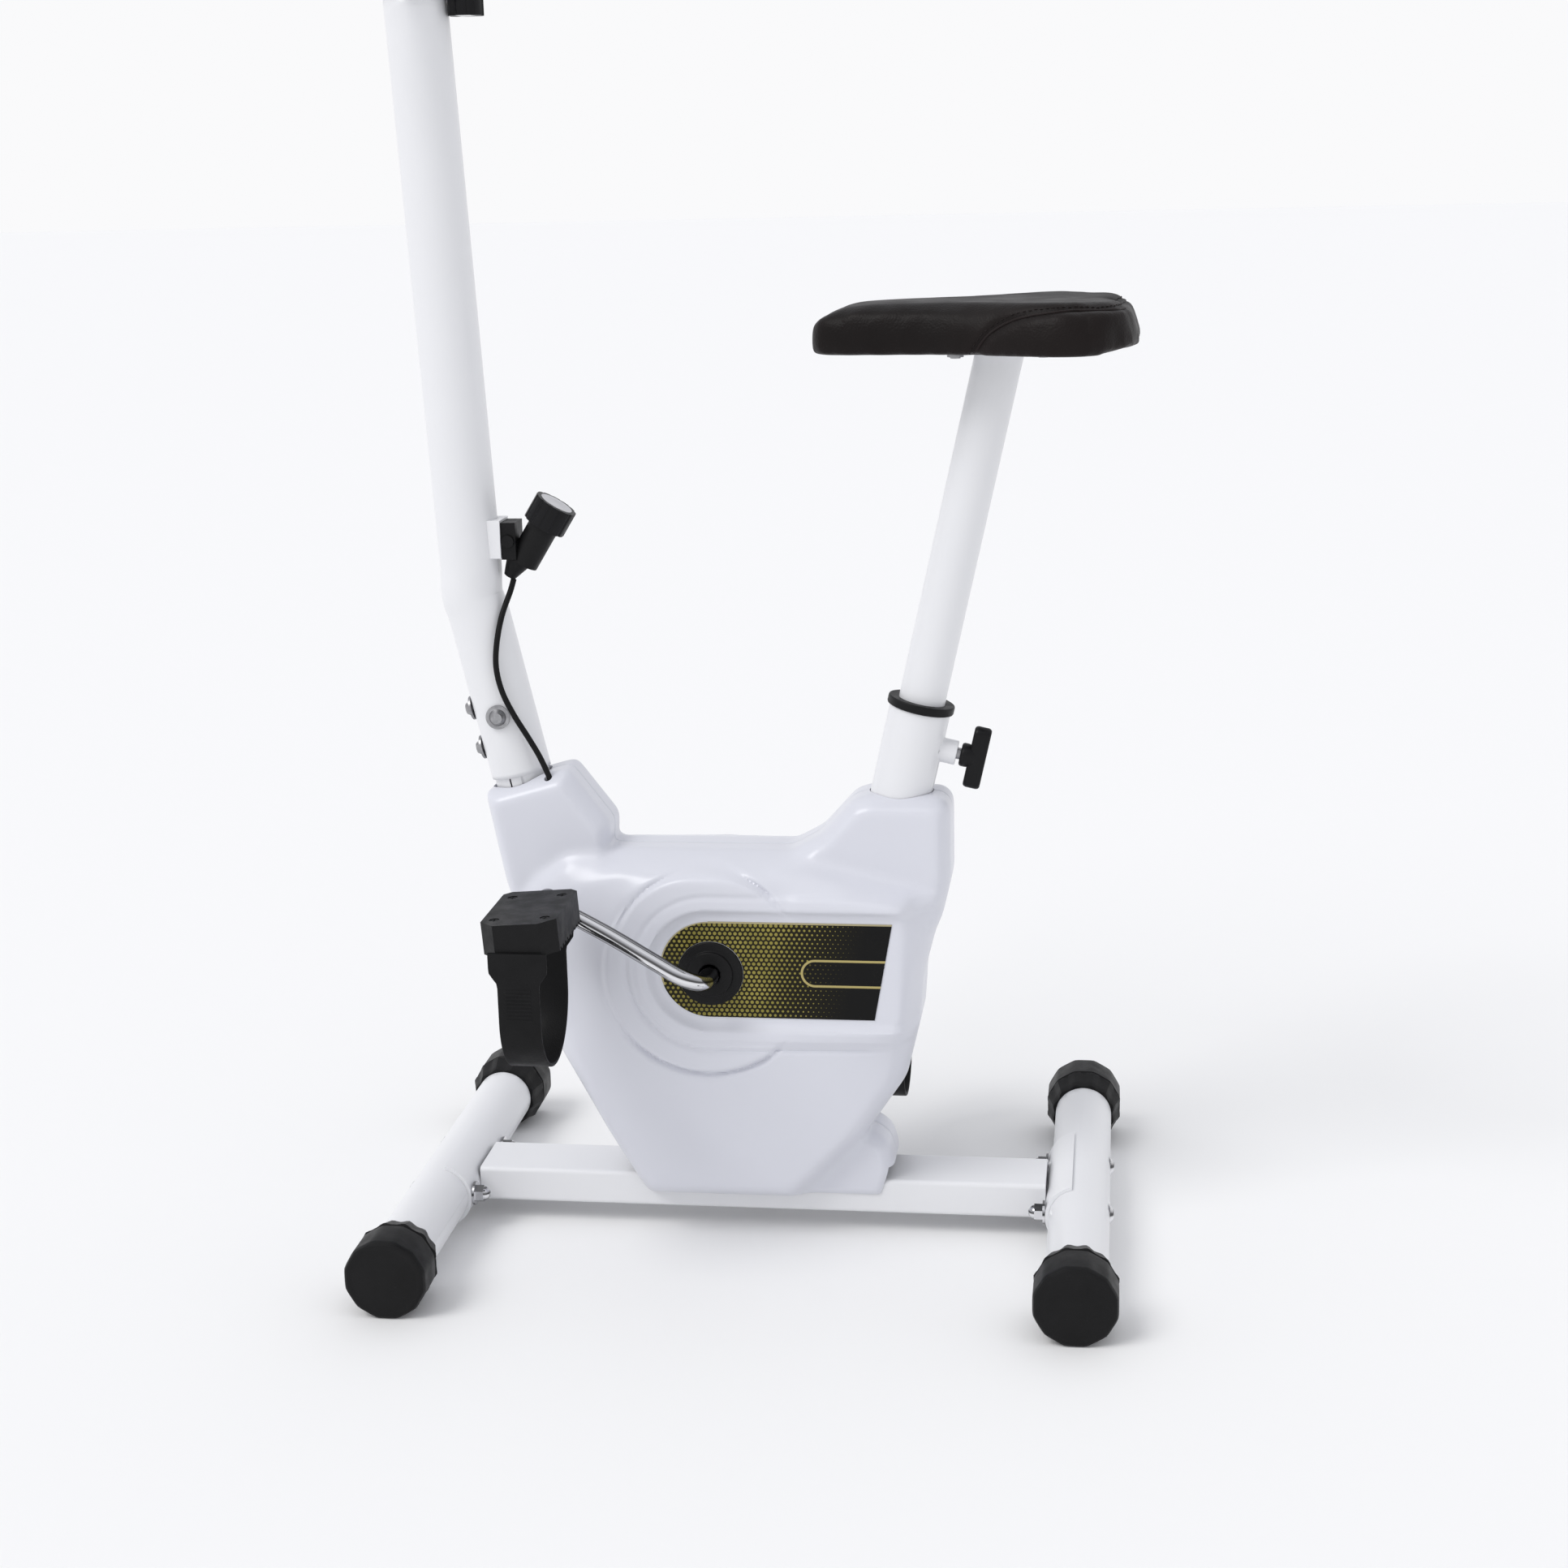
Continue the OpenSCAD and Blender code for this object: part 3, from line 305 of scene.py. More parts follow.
def brushed_steel():
    n = Nodes("zinc_steel")
    n.set(Metallic=1.0)
    lines = n.noise(240.0, 3.0, (1.0, 12.0, 1.0))
    n.colour(n.mix(n.spread(lines, 0.3, 0.7), (0.28, 0.28, 0.29), (0.42, 0.42, 0.43)))
    n.patchy(70.0, 3.0, 0.28, 0.46)
    n.bump(lines, 0.12, 0.0003)
    return n.mat


def cast_iron():
    n = Nodes("turned_iron")
    n.set(Metallic=0.9)
    n.colour(n.tone(120.0, 4.0, (0.12, 0.12, 0.13), (0.22, 0.22, 0.23)))
    n.patchy(60.0, 3.0, 0.35, 0.6)
    n.bump(n.noise(400.0, 3.0), 0.25, 0.0005)
    return n.mat


def foam():
    n = Nodes("grip_foam_black")
    n.set(Sheen_Weight=0.3, Sheen_Roughness=0.6)
    n.colour(n.mix(n.spread(n.cells(900.0), 0.1, 0.7), (0.012, 0.012, 0.013), (0.035, 0.035, 0.037)))
    n.patchy(60.0, 3.0, 0.75, 0.92)
    n.bump(n.cells(1500.0), 0.5, 0.0006)
    return n.mat


def honeycomb():
    """Gold dots in a hexagonal lattice that fade into black towards the rear, with two gold lines."""
    n = Nodes("honeycomb_print")
    n.set(Specular_IOR_Level=0.15)
    parts = n.add("ShaderNodeSeparateXYZ")
    n.link(n.place, parts.inputs[0])
    x, z = parts.outputs["X"], parts.outputs["Z"]
    pitch = 0.0042
    row = pitch * math.sqrt(3)

    def lattice(shift):
        dx = n.math("PINGPONG", n.math("ADD", x, 1.0 + shift * pitch / 2), pitch / 2)
        dz = n.math("PINGPONG", n.math("ADD", z, 1.0 + shift * row / 2), row / 2)
        return n.length(dx, dz)

    near = n.math("MINIMUM", lattice(0), lattice(1))
    slanted = n.math("ADD", x, n.times(n.math("SUBTRACT", 0.239, z), 0.25))
    fade = n.spread(slanted, 0.015, 0.090, 1.0, 0.0)
    front = n.spread(x, -0.075, -0.040, 0.72, 1.0)
    size = n.times(n.times(fade, front), 0.34 * pitch)
    dots = n.math("LESS_THAN", near, size)
    gold_tone = n.tone(60.0, 3.0, (0.20, 0.175, 0.036), (0.31, 0.265, 0.062))
    ground = n.mix(fade, (0.004, 0.004, 0.004), (0.017, 0.014, 0.005))
    base = n.mix(n.times(dots, n.spread(fade, 0.0, 0.5, 0.25, 1.0)), ground, gold_tone)

    # Gold outline of a slot that runs out at the rear edge
    mid_z, slot_r, slot_x, line = 0.2405, 0.0108, 0.056, 0.00095
    along = n.math("MAXIMUM", n.math("SUBTRACT", slot_x, x), 0.0)
    off = n.math("SUBTRACT", z, mid_z)
    away = n.length(along, off)
    inside = n.math("LESS_THAN", away, slot_r)
    slot_line = n.math("LESS_THAN", n.math("ABSOLUTE", n.math("SUBTRACT", away, slot_r)), line)
    base = n.mix(n.times(inside, 0.7), base, (0.004, 0.004, 0.004))
    base = n.mix(slot_line, base, (0.42, 0.35, 0.14))

    # Pale gold line along the upper edge and round the front end
    ahead = n.math("MAXIMUM", n.math("SUBTRACT", -0.031, x), 0.0)
    rise = n.math("SUBTRACT", z, 0.2423)
    reach = n.length(ahead, rise)
    rim = n.times(n.math("GREATER_THAN", reach, 0.0393), n.math("GREATER_THAN", z, 0.228))
    n.colour(n.mix(n.times(rim, 0.8), base, (0.50, 0.44, 0.26)))
    n.patchy(60.0, 3.0, 0.25, 0.38)
    n.bump(dots, 0.06, 0.0002)
    return n.mat


def display():
    n = Nodes("display_window")
    n.set(Coat_Weight=0.8, Coat_Roughness=0.03)
    n.colour(n.tone(30.0, 3.0, (0.20, 0.245, 0.21), (0.25, 0.30, 0.26)))
    n.patchy(60.0, 3.0, 0.12, 0.2)
    n.bump(n.noise(300.0), 0.02, 0.0002)
    return n.mat


def gloss_red():
    n = Nodes("red_button_plastic")
    n.set(Coat_Weight=0.4, Coat_Roughness=0.1)
    n.colour(n.tone(60.0, 3.0, (0.42, 0.03, 0.02), (0.52, 0.05, 0.035)))
    n.patchy(80.0, 3.0, 0.25, 0.35)
    n.bump(n.noise(500.0), 0.05, 0.0003)
    return n.mat


def silver_print():
    n = Nodes("silver_print")
    n.set(Metallic=0.6)
    n.colour(n.tone(60.0, 3.0, (0.55, 0.55, 0.57), (0.68, 0.68, 0.7)))
    n.patchy(80.0, 3.0, 0.28, 0.42)
    n.bump(n.noise(600.0), 0.05, 0.0002)
    return n.mat


# ---------------------------------------------------------------- mesh helpers
def piece(name, verts, faces, mat, body, slot, smooth=True):
    """A new object that rides on a body and takes the finish mat. The slot argument is not used."""
    mesh = bpy.data.meshes.new(name)
    mesh.from_pydata([tuple(v) for v in verts], [], faces)
    mesh.validate()
    tidy_normals(mesh)
    return place_piece(name, mesh, mat, body, smooth)


def place_piece(name, mesh, mat, body, smooth=True):
    obj = bpy.data.objects.new(name, mesh)
    bpy.context.collection.objects.link(obj)
    mesh.materials.clear()
    mesh.materials.append(mat)
    if smooth:
        mesh.shade_smooth()
    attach(obj, body)
    return obj


def tidy_normals(mesh):
    bm = bmesh.new()
    bm.from_mesh(mesh)
    bmesh.ops.remove_doubles(bm, verts=bm.verts, dist=1e-6)
    bmesh.ops.recalc_face_normals(bm, faces=bm.faces)
    bm.to_mesh(mesh)
    bm.free()


def spline(points, steps):
    """Catmull-Rom curve through the points."""
    p = [Vector(q) for q in points]
    last = len(p) - 1
    out = []
    for i in range(last):
        a, b, c, d = p[max(i - 1, 0)], p[i], p[i + 1], p[min(i + 2, last)]
        for k in range(steps):
            t = k / steps
            out.append(0.5 * (2 * b + (c - a) * t + (2 * a - 5 * b + 4 * c - d) * t * t
                              + (3 * b - a - 3 * c + d) * t ** 3))
    out.append(p[last])
    return out


def rings(route, radius, sides):
    """Circles round a route, turned as little as possible from one to the next. radius may vary along it."""
    n = len(route)
    normal = None
    out = []
    for i, point in enumerate(route):
        ahead = (route[min(i + 1, n - 1)] - route[max(i - 1, 0)]).normalized()
        if normal is None:
            normal = ahead.orthogonal()
        normal = (normal - normal.dot(ahead) * ahead).normalized()
        across = ahead.cross(normal)
        r = radius[i] if isinstance(radius, (list, tuple)) else radius
        out.append([point + r * (math.cos(a) * normal + math.sin(a) * across)
                    for a in (2 * math.pi * k / sides for k in range(sides))])
    return out


def loft(loops, closed_ends=True, wrap=False):
    """Vertices and faces through loops of equal length."""
    sides = len(loops[0])
    verts = [v for loop in loops for v in loop]
    faces = []
    pairs = len(loops) if wrap else len(loops) - 1
    for i in range(pairs):
        j = (i + 1) % len(loops)
        for k in range(sides):
            m = (k + 1) % sides
            faces.append((i * sides + k, i * sides + m, j * sides + m, j * sides + k))
    if closed_ends and not wrap:
        faces.append(tuple(reversed(range(sides))))
        faces.append(tuple((len(loops) - 1) * sides + k for k in range(sides)))
    return verts, faces


def tube(name, route, radius, sides, mat, body, slot):
    return piece(name, *loft(rings(route, radius, sides)), mat, body, slot)


def turned(profile, sides, centre, axis):
    """Revolves (radius, height) pairs about an axis. Returns vertices and faces."""
    axis = Vector(axis).normalized()
    u = axis.orthogonal().normalized()
    v = axis.cross(u)
    loops = []
    for r, h in profile:
        loops.append([Vector(centre) + h * axis + r * (math.cos(a) * u + math.sin(a) * v)
                      for a in (2 * math.pi * k / sides for k in range(sides))])
    return loft(loops)


def soften(obj, width, segments=3, angle=35):
    """Rounds an object's edges with a bevel."""
    bevel = obj.modifiers.new("rounded_edges", "BEVEL")
    bevel.width = width
    bevel.segments = segments
    bevel.limit_method = "ANGLE"
    bevel.angle_limit = math.radians(angle)
    bevel.harden_normals = True
    return obj


def soften_node(name, width, segments=2, angle=35):
    """Welds a CAD node's split corners, then rounds its edges, with modifiers only."""
    obj = NODES[name]
    weld = obj.modifiers.new("weld", "WELD")
    weld.merge_threshold = 0.00002
    soften(obj, width, segments, angle)
    obj.modifiers["rounded_edges"].use_clamp_overlap = True


def paint(mat, *names):
    for name in names:
        obj = NODES[name]
        obj.data.materials.clear()
        obj.data.materials.append(mat)


MATS = {
    "coat": powder_coat(),
    "shell": shell_plastic(),
    "plastic": moulded_black("black_moulded_plastic", (0.008, 0.008, 0.0085), 0.44, 1100.0, 0.22),
    "rubber": moulded_black("black_rubber", (0.007, 0.007, 0.0075), 0.55, 800.0, 0.30),
    "knob": moulded_black("knob_plastic", (0.008, 0.008, 0.009), 0.34, 1500.0, 0.12),
    "vinyl": vinyl(),
    "chrome": chrome(),
    "steel": brushed_steel(),
    "iron": cast_iron(),
    "foam": foam(),
    "decal": honeycomb(),
    "display": display(),
    "red": gloss_red(),
    "silver": silver_print(),
}

add_camera()
add_stage()

# ---------------------------------------------------------------- housing
# Outlines of the housing's parts in X and Z, in millimetres, clockwise from the front
MAIN = [(-112, 332), (43, 332), (150, 305), (157, 280), (151, 266), (141.5, 229), (139, 192), (127, 142),
        (90, 92), (34, 31), (-94, 31), (-108, 52), (-130, 92), (-165, 156), (-197, 262), (-194, 285),
        (-176, 309), (-150, 326)]
BELLY = [(-106, 324), (30, 325), (130, 300), (140, 272), (129, 186), (116, 142), (84, 95), (32, 43),
         (-87, 43), (-122, 97), (-150, 165), (-172, 250), (-166, 288), (-146, 306)]
FRONT = [(-222, 379), (-152, 399), (-117, 352), (-110, 326), (-100, 300), (-150, 190), (-180, 205),
         (-208, 303)]
REAR = [(30, 331), (56, 345), (84, 376), (98, 380), (156, 379), (164, 371), (164, 310), (157, 280),
        (140, 215), (60, 215)]
LOBE = [(20, 96), (98, 88), (111, 79), (116, 60), (107, 31), (20, 31)]
WHOLE = [(-222, 379), (-152, 399), (-117, 353), (-119, 332), (32, 332), (56, 345), (84, 376), (98, 380),
         (156, 379), (164, 371), (164, 310), (157, 280), (151, 266), (141.5, 229), (139, 192), (127, 142),
         (92, 90), (100, 88), (111, 79), (116, 60), (107, 31), (-94, 31), (-108, 52), (-130, 92),
         (-165, 156), (-180, 205), (-208, 303)]
# The middle of the top is narrower than the rest of the rim
CROWN = (-118.0, 48.0, 296.0, 332.0)
FLANK_R = 86.0
FLANK_BOX = (40.0, 130.0, 194.0, 302.0)
DECAL_FLOOR = 62.85
# Centres of the flat flank, the round step and the arch over it, and of the decal's round end
FLANK_MID = (-34.0, 239.0)
STEP_MID = (-33.5, 239.0)
ARCH_MID = (-32.5, 246.7)
DECAL_MID = (-31.0, 242.0)
STEP_GROOVE_R, STEP_GROOVE_DEPTH = 87.0, 3.8
ARCH_R, ARCH_DEPTH = 78.5, 4.2
CREASE_R, CREASE_DEPTH = 68.0, 1.9
PLATEAU_RISE, RIM_RISE = 2.6, 2.6
EDGE_ROUND = 15.0
CELL = 1.5
# Wall and clearance of the shells, and the screws in the right one, in millimetres
WALL = 2.4
PARTING_GAP, PARTING_LIP = 0.6, 0.15
TUBE_HOLE_R, HUB_HOLE_R, SCREW_HOLE_R, CABLE_HOLE_R = 25.7, 22.0, 4.0, 3.4
SCREW_PLACES = [(-134, 346), (-50, 66), (96, 64), (147, 335)]


def edge_distance(poly, x, z):
    """Distance inside a closed outline, negative outside, for arrays x and z."""
    best = np.full(x.shape, 1e9)
    inside = np.zeros(x.shape, bool)
    for (ax, az), (bx, bz) in zip(poly, poly[1:] + poly[:1]):
        ex, ez = bx - ax, bz - az
        t = np.clip(((x - ax) * ex + (z - az) * ez) / (ex * ex + ez * ez), 0, 1)
        best = np.minimum(best, np.hypot(x - ax - t * ex, z - az - t * ez))
        if az != bz:
            crossing = (az > z) != (bz > z)
            inside ^= crossing & (x < ax + (z - az) * ex / ez)
    return np.where(inside, best, -best)


def smooth_step(value, low, high):
    t = np.clip((value - low) / (high - low), 0, 1)
    return t * t * (3 - 2 * t)


def blur(grid, sigma):
    half = int(3 * sigma)
    kernel = np.exp(-0.5 * (np.arange(-half, half + 1) / sigma) ** 2)
    kernel /= kernel.sum()
    for axis in (0, 1):
        grid = np.apply_along_axis(lambda row: np.convolve(row, kernel, "same"), axis, grid)
    return grid


def flank_distance(x, z):
    """Distance inside the flat of the flank: a disc about the crank and a square behind it."""
    disc = FLANK_R - np.hypot(x - FLANK_MID[0], z - FLANK_MID[1])
    x0, x1, z0, z1 = FLANK_BOX
    square = np.minimum(np.minimum(x - x0, x1 - x), np.minimum(z - z0, z1 - z))
    return np.maximum(disc, square)


class Housing:
    """Half thickness of the housing over its side outline."""

    def __init__(self):
        self.x0, self.z0 = -240.0, 15.0
        xs = self.x0 + CELL * np.arange(280)
        zs = self.z0 + CELL * np.arange(272)
        x, z = np.meshgrid(xs, zs, indexing="ij")
        main = edge_distance(MAIN, x, z)
        belly = edge_distance(BELLY, x, z)
        flank = flank_distance(x, z)
        rise = main / np.maximum(main - np.minimum(belly, 0), 1e-6)
        x0, x1, z0, z1 = CROWN
        crown = smooth_step(z, z0, z1) * smooth_step(x, x0 - 6, x0 + 10)
        crown = crown * (1 - smooth_step(x, x1 - 20, x1 + 10))
        shoulder = (1 - smooth_step(x, -150, -112)) * smooth_step(z, 262, 300)
        rim = 34 - 17 * crown + 9 * shoulder
        low = rim + (54 - rim) * np.clip(rise, 0, 1)
        swell = belly / np.maximum(belly - np.minimum(flank, 0), 1e-6)
        bulge = np.where(belly > 0, 54 + 12 * np.clip(swell, 0, 1), low)
        field = np.where(main > 0, bulge, 0)
        for outline, edge, flat in ((FRONT, 24, 36), (REAR, 26, 38), (LOBE, 33, 34)):
            d = edge_distance(outline, x, z)
            field = np.maximum(field, np.where(d > 0, edge + (flat - edge) * np.clip(d / 7, 0, 1), 0))
        mask = (field > 0).astype(float)
        self.grid = blur(field, 2.6) / np.maximum(blur(mask, 2.6), 1e-3)

    def nominal(self, x, z):
        u = (x - self.x0) / CELL
        v = (z - self.z0) / CELL
        i = np.clip(u.astype(int), 0, self.grid.shape[0] - 2)
        j = np.clip(v.astype(int), 0, self.grid.shape[1] - 2)
        fu, fv = u - i, v - j
        g = self.grid
        return ((1 - fu) * (1 - fv) * g[i, j] + fu * (1 - fv) * g[i + 1, j]
                + (1 - fu) * fv * g[i, j + 1] + fu * fv * g[i + 1, j + 1])

    def height(self, x, z, d):
        """Half thickness at places that lie d inside the outline, with every moulded detail."""
        y = self.nominal(x, z)
        centre = np.hypot(x - STEP_MID[0], z - STEP_MID[1])
        up = (z - STEP_MID[1]) / np.maximum(centre, 1)
        behind = smooth_step(x, 5, 50)
        plateau = (1 - smooth_step(centre, STEP_GROOVE_R - 5, STEP_GROOVE_R)) * (1 - behind)
        arch = np.hypot(x - ARCH_MID[0], z - ARCH_MID[1])
        decal_x, decal_z = DECAL_MID
        s = np.where(x < decal_x, np.hypot(x - decal_x, z - decal_z), np.abs(z - decal_z))
        y = y + PLATEAU_RISE * plateau * smooth_step(s, 61, 66)
        top, bottom = smooth_step(up, 0.35, 0.65), smooth_step(-up, 0.45, 0.85)
        groove = np.exp(-((centre - STEP_GROOVE_R) / 2.2) ** 2) * (0.1 + 0.9 * bottom)
        y = y - STEP_GROOVE_DEPTH * groove * (1 - smooth_step(x, 8, 42))
        y = y - ARCH_DEPTH * np.exp(-((arch - ARCH_R) / 2.1) ** 2) * top * (1 - smooth_step(x, 12, 42))
        crease = (1 - smooth_step(up, 0.1, 0.5)) * (1 - smooth_step(x, 90, 125))
        y = y - CREASE_DEPTH * np.exp(-((s - CREASE_R) / 1.9) ** 2) * crease
        rim = smooth_step(s, 49, 52) * (1 - smooth_step(s, 59, 65))
        fade = 1 - smooth_step(x, 112, 150)
        y = y + RIM_RISE * rim * (0.35 + 0.65 * fade)
        floor = np.where(x < 122, DECAL_FLOOR, np.minimum(y - 3.0, DECAL_FLOOR))
        into = 1 - smooth_step(s, 44.2, 50.5)
        y = y * (1 - into) + floor * into
        rounding = 1 - np.sqrt(1 - (1 - np.clip(d / 10, 0, 1)) ** 2)
        return y - EDGE_ROUND * rounding * np.clip(y / 34, 0.7, 1)


def rounded_outline(poly, step, passes):
    """Points evenly along a closed outline, its corners rounded by averaging."""
    pts = []
    for (ax, az), (bx, bz) in zip(poly, poly[1:] + poly[:1]):
        n = max(1, round(math.hypot(bx - ax, bz - az) / step))
        for k in range(n):
            pts.append((ax + (bx - ax) * k / n, az + (bz - az) * k / n))
    p = np.array(pts)
    for _ in range(passes):
        p = 0.5 * p + 0.25 * (np.roll(p, 1, 0) + np.roll(p, -1, 0))
    return p


def inward_of(outline):
    """Unit directions that point into a closed outline, one at each of its points."""
    ahead = np.roll(outline, -1, 0) - np.roll(outline, 1, 0)
    inward = np.stack([ahead[:, 1], -ahead[:, 0]], 1)
    return inward / np.linalg.norm(inward, axis=1)[:, None]


def housing_sheet(housing, spacing):
    """Triangles over the rounded outline: 2-D places, heights and the outline's own point count."""
    outline = rounded_outline(WHOLE, 2.0, 9)
    loop = [tuple(p) for p in outline]
    inward = inward_of(outline)
    sets = [outline]
    for depth in (0.35, 1.1, 2.3, 4.0, 6.2):
        ring = outline + depth * inward
        far = edge_distance(loop, ring[:, 0], ring[:, 1])
        sets.append(ring[far > 0.93 * depth])
    xs = np.arange(-226, 168, spacing)
    zs = np.arange(28, 410, spacing * 0.866)
    gx, gz = np.meshgrid(xs, zs, indexing="ij")
    gx = gx + np.where(np.arange(len(zs)) % 2, spacing / 2, 0)[None, :]
    gx, gz = gx.ravel(), gz.ravel()
    far = edge_distance(loop, gx, gz)
    keep = far > 7.8
    sets.append(np.stack([gx[keep], gz[keep]], 1))
    flat = np.concatenate(sets)
    n = len(outline)
    edges = [(i, (i + 1) % n) for i in range(n)]
    verts, _, faces, origin, _, _ = delaunay_2d_cdt([Vector(p) for p in flat], edges, [], 1, 1e-4)
    places = np.array([tuple(v) for v in verts])
    order = [-1] * n
    for new, olds in enumerate(origin):
        for old in olds:
            if old < n:
                order[old] = new
    d = np.maximum(edge_distance(loop, places[:, 0], places[:, 1]), 0)
    d[order] = 0
    return places, housing.height(places[:, 0], places[:, 1], d), faces, order


def evaluated_mesh(obj):
    """A copy of an object's mesh with its modifiers applied."""
    graph = bpy.context.evaluated_depsgraph_get()
    return bpy.data.meshes.new_from_object(obj.evaluated_get(graph))


def plain_object(name, verts, faces):
    mesh = bpy.data.meshes.new(name)
    mesh.from_pydata([tuple(v) for v in verts], [], faces)
    mesh.validate()
    tidy_normals(mesh)
    obj = bpy.data.objects.new(name, mesh)
    bpy.context.collection.objects.link(obj)
    return obj


def cut_away(obj, cutter, use_self=False):
    """Adds an exact Boolean that takes the cutter's solid out of the object."""
    cut = obj.modifiers.new("cut", "BOOLEAN")
    cut.operation = "DIFFERENCE"
    cut.solver = "EXACT"
    cut.use_self = use_self
    cut.object = cutter


def rod(centre, axis, radius, low, high, sides=64):
    return turned([(radius, low), (radius, high)], sides, centre, axis)


def merged(parts):
    verts, faces = [], []
    for part_verts, part_faces in parts:
        start = len(verts)
        verts += part_verts
        faces += [tuple(start + i for i in face) for face in part_faces]
    return verts, faces


def box_solid(low, high):
    (x0, y0, z0), (x1, y1, z1) = low, high
    verts = [Vector((x, y, z)) for z in (z0, z1) for y in (y0, y1) for x in (x0, x1)]
    faces = [(0, 2, 3, 1), (4, 5, 7, 6), (0, 1, 5, 4), (2, 6, 7, 3), (0, 4, 6, 2), (1, 3, 7, 5)]
    return verts, faces


def shell_half(name, side, sheet):
    """One shell: the sheet, its rim down to the parting line, its wall and its openings."""
    places, heights, faces, order = sheet
    verts = [Vector((x, side * y, z)) * MM for (x, z), y in zip(places, heights)]
    loop_count = len(order)
    centre = np.array([places[i] for i in order])
    inward = inward_of(centre)
    top = heights[order]
    rows = [order]
    for share, inset in ((0.8, 0), (0.6, 0), (0.4, 0), (0.2, 0), (None, 0), (None, 0.35)):
        row = []
        for k in range(loop_count):
            y = top[k] * share if share else (PARTING_GAP if inset == 0 else PARTING_LIP)
            place = centre[k] + inset * inward[k]
            row.append(len(verts))
            verts.append(Vector((place[0], side * y, place[1])) * MM)
        rows.append(row)
    skin = [tuple(f) for f in faces]
    for upper, lower in zip(rows, rows[1:]):
        for k in range(loop_count):
            m = (k + 1) % loop_count
            skin.append((upper[k], upper[m], lower[m], lower[k]))
    shell = plain_object(name, verts, skin)
    mesh = shell.data
    bm = bmesh.new()
    bm.from_mesh(mesh)
    bm.normal_update()
    outward = sum(f.normal.y * f.calc_area() for f in bm.faces)
    if outward * side < 0:
        bmesh.ops.reverse_faces(bm, faces=bm.faces)
    bm.to_mesh(mesh)
    bm.free()
    solid = shell.modifiers.new("wall", "SOLIDIFY")
    solid.thickness = WALL * MM
    solid.offset = -1
    low_axis = (POST_BEND - POST_LOW).normalized()
    cuts = [
        box_solid((-0.150, -0.031, 0.0), (0.150, 0.031, 0.060)),
        rod(SEAT_FOOT, SEAT_AXIS, TUBE_HOLE_R * MM, 0.20, 0.45),
        rod(POST_LOW, low_axis, TUBE_HOLE_R * MM, -0.03, 0.08),
        rod(CABLE_HOLE, CABLE_AXIS, CABLE_HOLE_R * MM, -0.045, 0.045, 32),
        rod(CRANK, (0, 1, 0), HUB_HOLE_R * MM, -0.1, 0.1, 96),
    ]
    if side > 0:
        for x, z in SCREW_PLACES:
            cuts.append(rod(Vector((x, 0, z)) * MM, (0, 1, 0), SCREW_HOLE_R * MM, 0.02, 0.09, 32))
    cutter = plain_object(name + "_cutter", *merged(cuts))
    cut_away(shell, cutter, use_self=True)
    result = evaluated_mesh(shell)
    bpy.data.objects.remove(shell)
    bpy.data.objects.remove(cutter)
    body = place_piece(name, result, MATS["shell"], "frame")
    result.set_sharp_from_angle(angle=math.radians(42))
    return body


def build_housing():
    sheet = housing_sheet(Housing(), 2.0)
    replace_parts(shell_half("left_shell_skin", -1, sheet), "left_shell")
    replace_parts(shell_half("right_shell_skin", 1, sheet), "right_shell")


# ---------------------------------------------------------------- saddle cushion
# Half of the plan outline in X and Y, the top and bottom edges and the side seam in X and Z, in millimetres
SEAT_HALF = [(57, 40), (80, 47), (150, 60), (190, 76), (225, 97), (250, 105), (282, 101), (304, 79),
             (312, 50)]
SEAT_PLAN = [(57, -40)] + SEAT_HALF + [(x, -y) for x, y in reversed(SEAT_HALF[1:])]
SEAT_TOP = [(50, 754), (57, 759.5), (68, 765), (94, 768), (119, 769), (183, 770.5), (245, 771), (304, 770.5),
            (309, 769.5), (313, 766), (320, 758)]
SEAT_LOW = [(50, 731.5), (150, 732.5), (277, 733), (313, 739)]
SEAM = [(186, 732), (189, 740), (197, 751), (209, 759), (226, 765), (246, 768.5), (262, 769.5)]
# Rings up the side: how far inside the outline, the same at the rear, and the share of the height
SIDE_RINGS = [(10, 10, 0.0), (4, 4, -0.02), (1.6, 1.6, 0.0), (1.0, 0.6, 0.12), (1.8, 2.6, 0.74),
              (2.4, 3.0, 0.90), (3.8, 4.0, 0.98), (11, 11, 1.0)]
REAR_FROM, REAR_TO = 292, 306
HOLLOW_SCALE, HOLLOW_LEVELS = (0.83, 0.78), (715, 743.5)
HOLLOW_MID = 190
SEAT_UNDERSIDE = 0.7312
VOXEL = 0.005
SWELL = 0.005
COVER_CLOTH = {"quality": 6, "mass": 0.35, "tension_stiffness": 18, "compression_stiffness": 12,
               "shear_stiffness": 8, "bending_stiffness": 1.2, "shrink_min": -0.006, "use_pressure": True,
               "uniform_pressure_force": 4}
CLOTH_STEPS = 20


def level(edge, x):
    """Height of the cushion's top or bottom edge at x."""
    return np.interp(x, *zip(*edge))


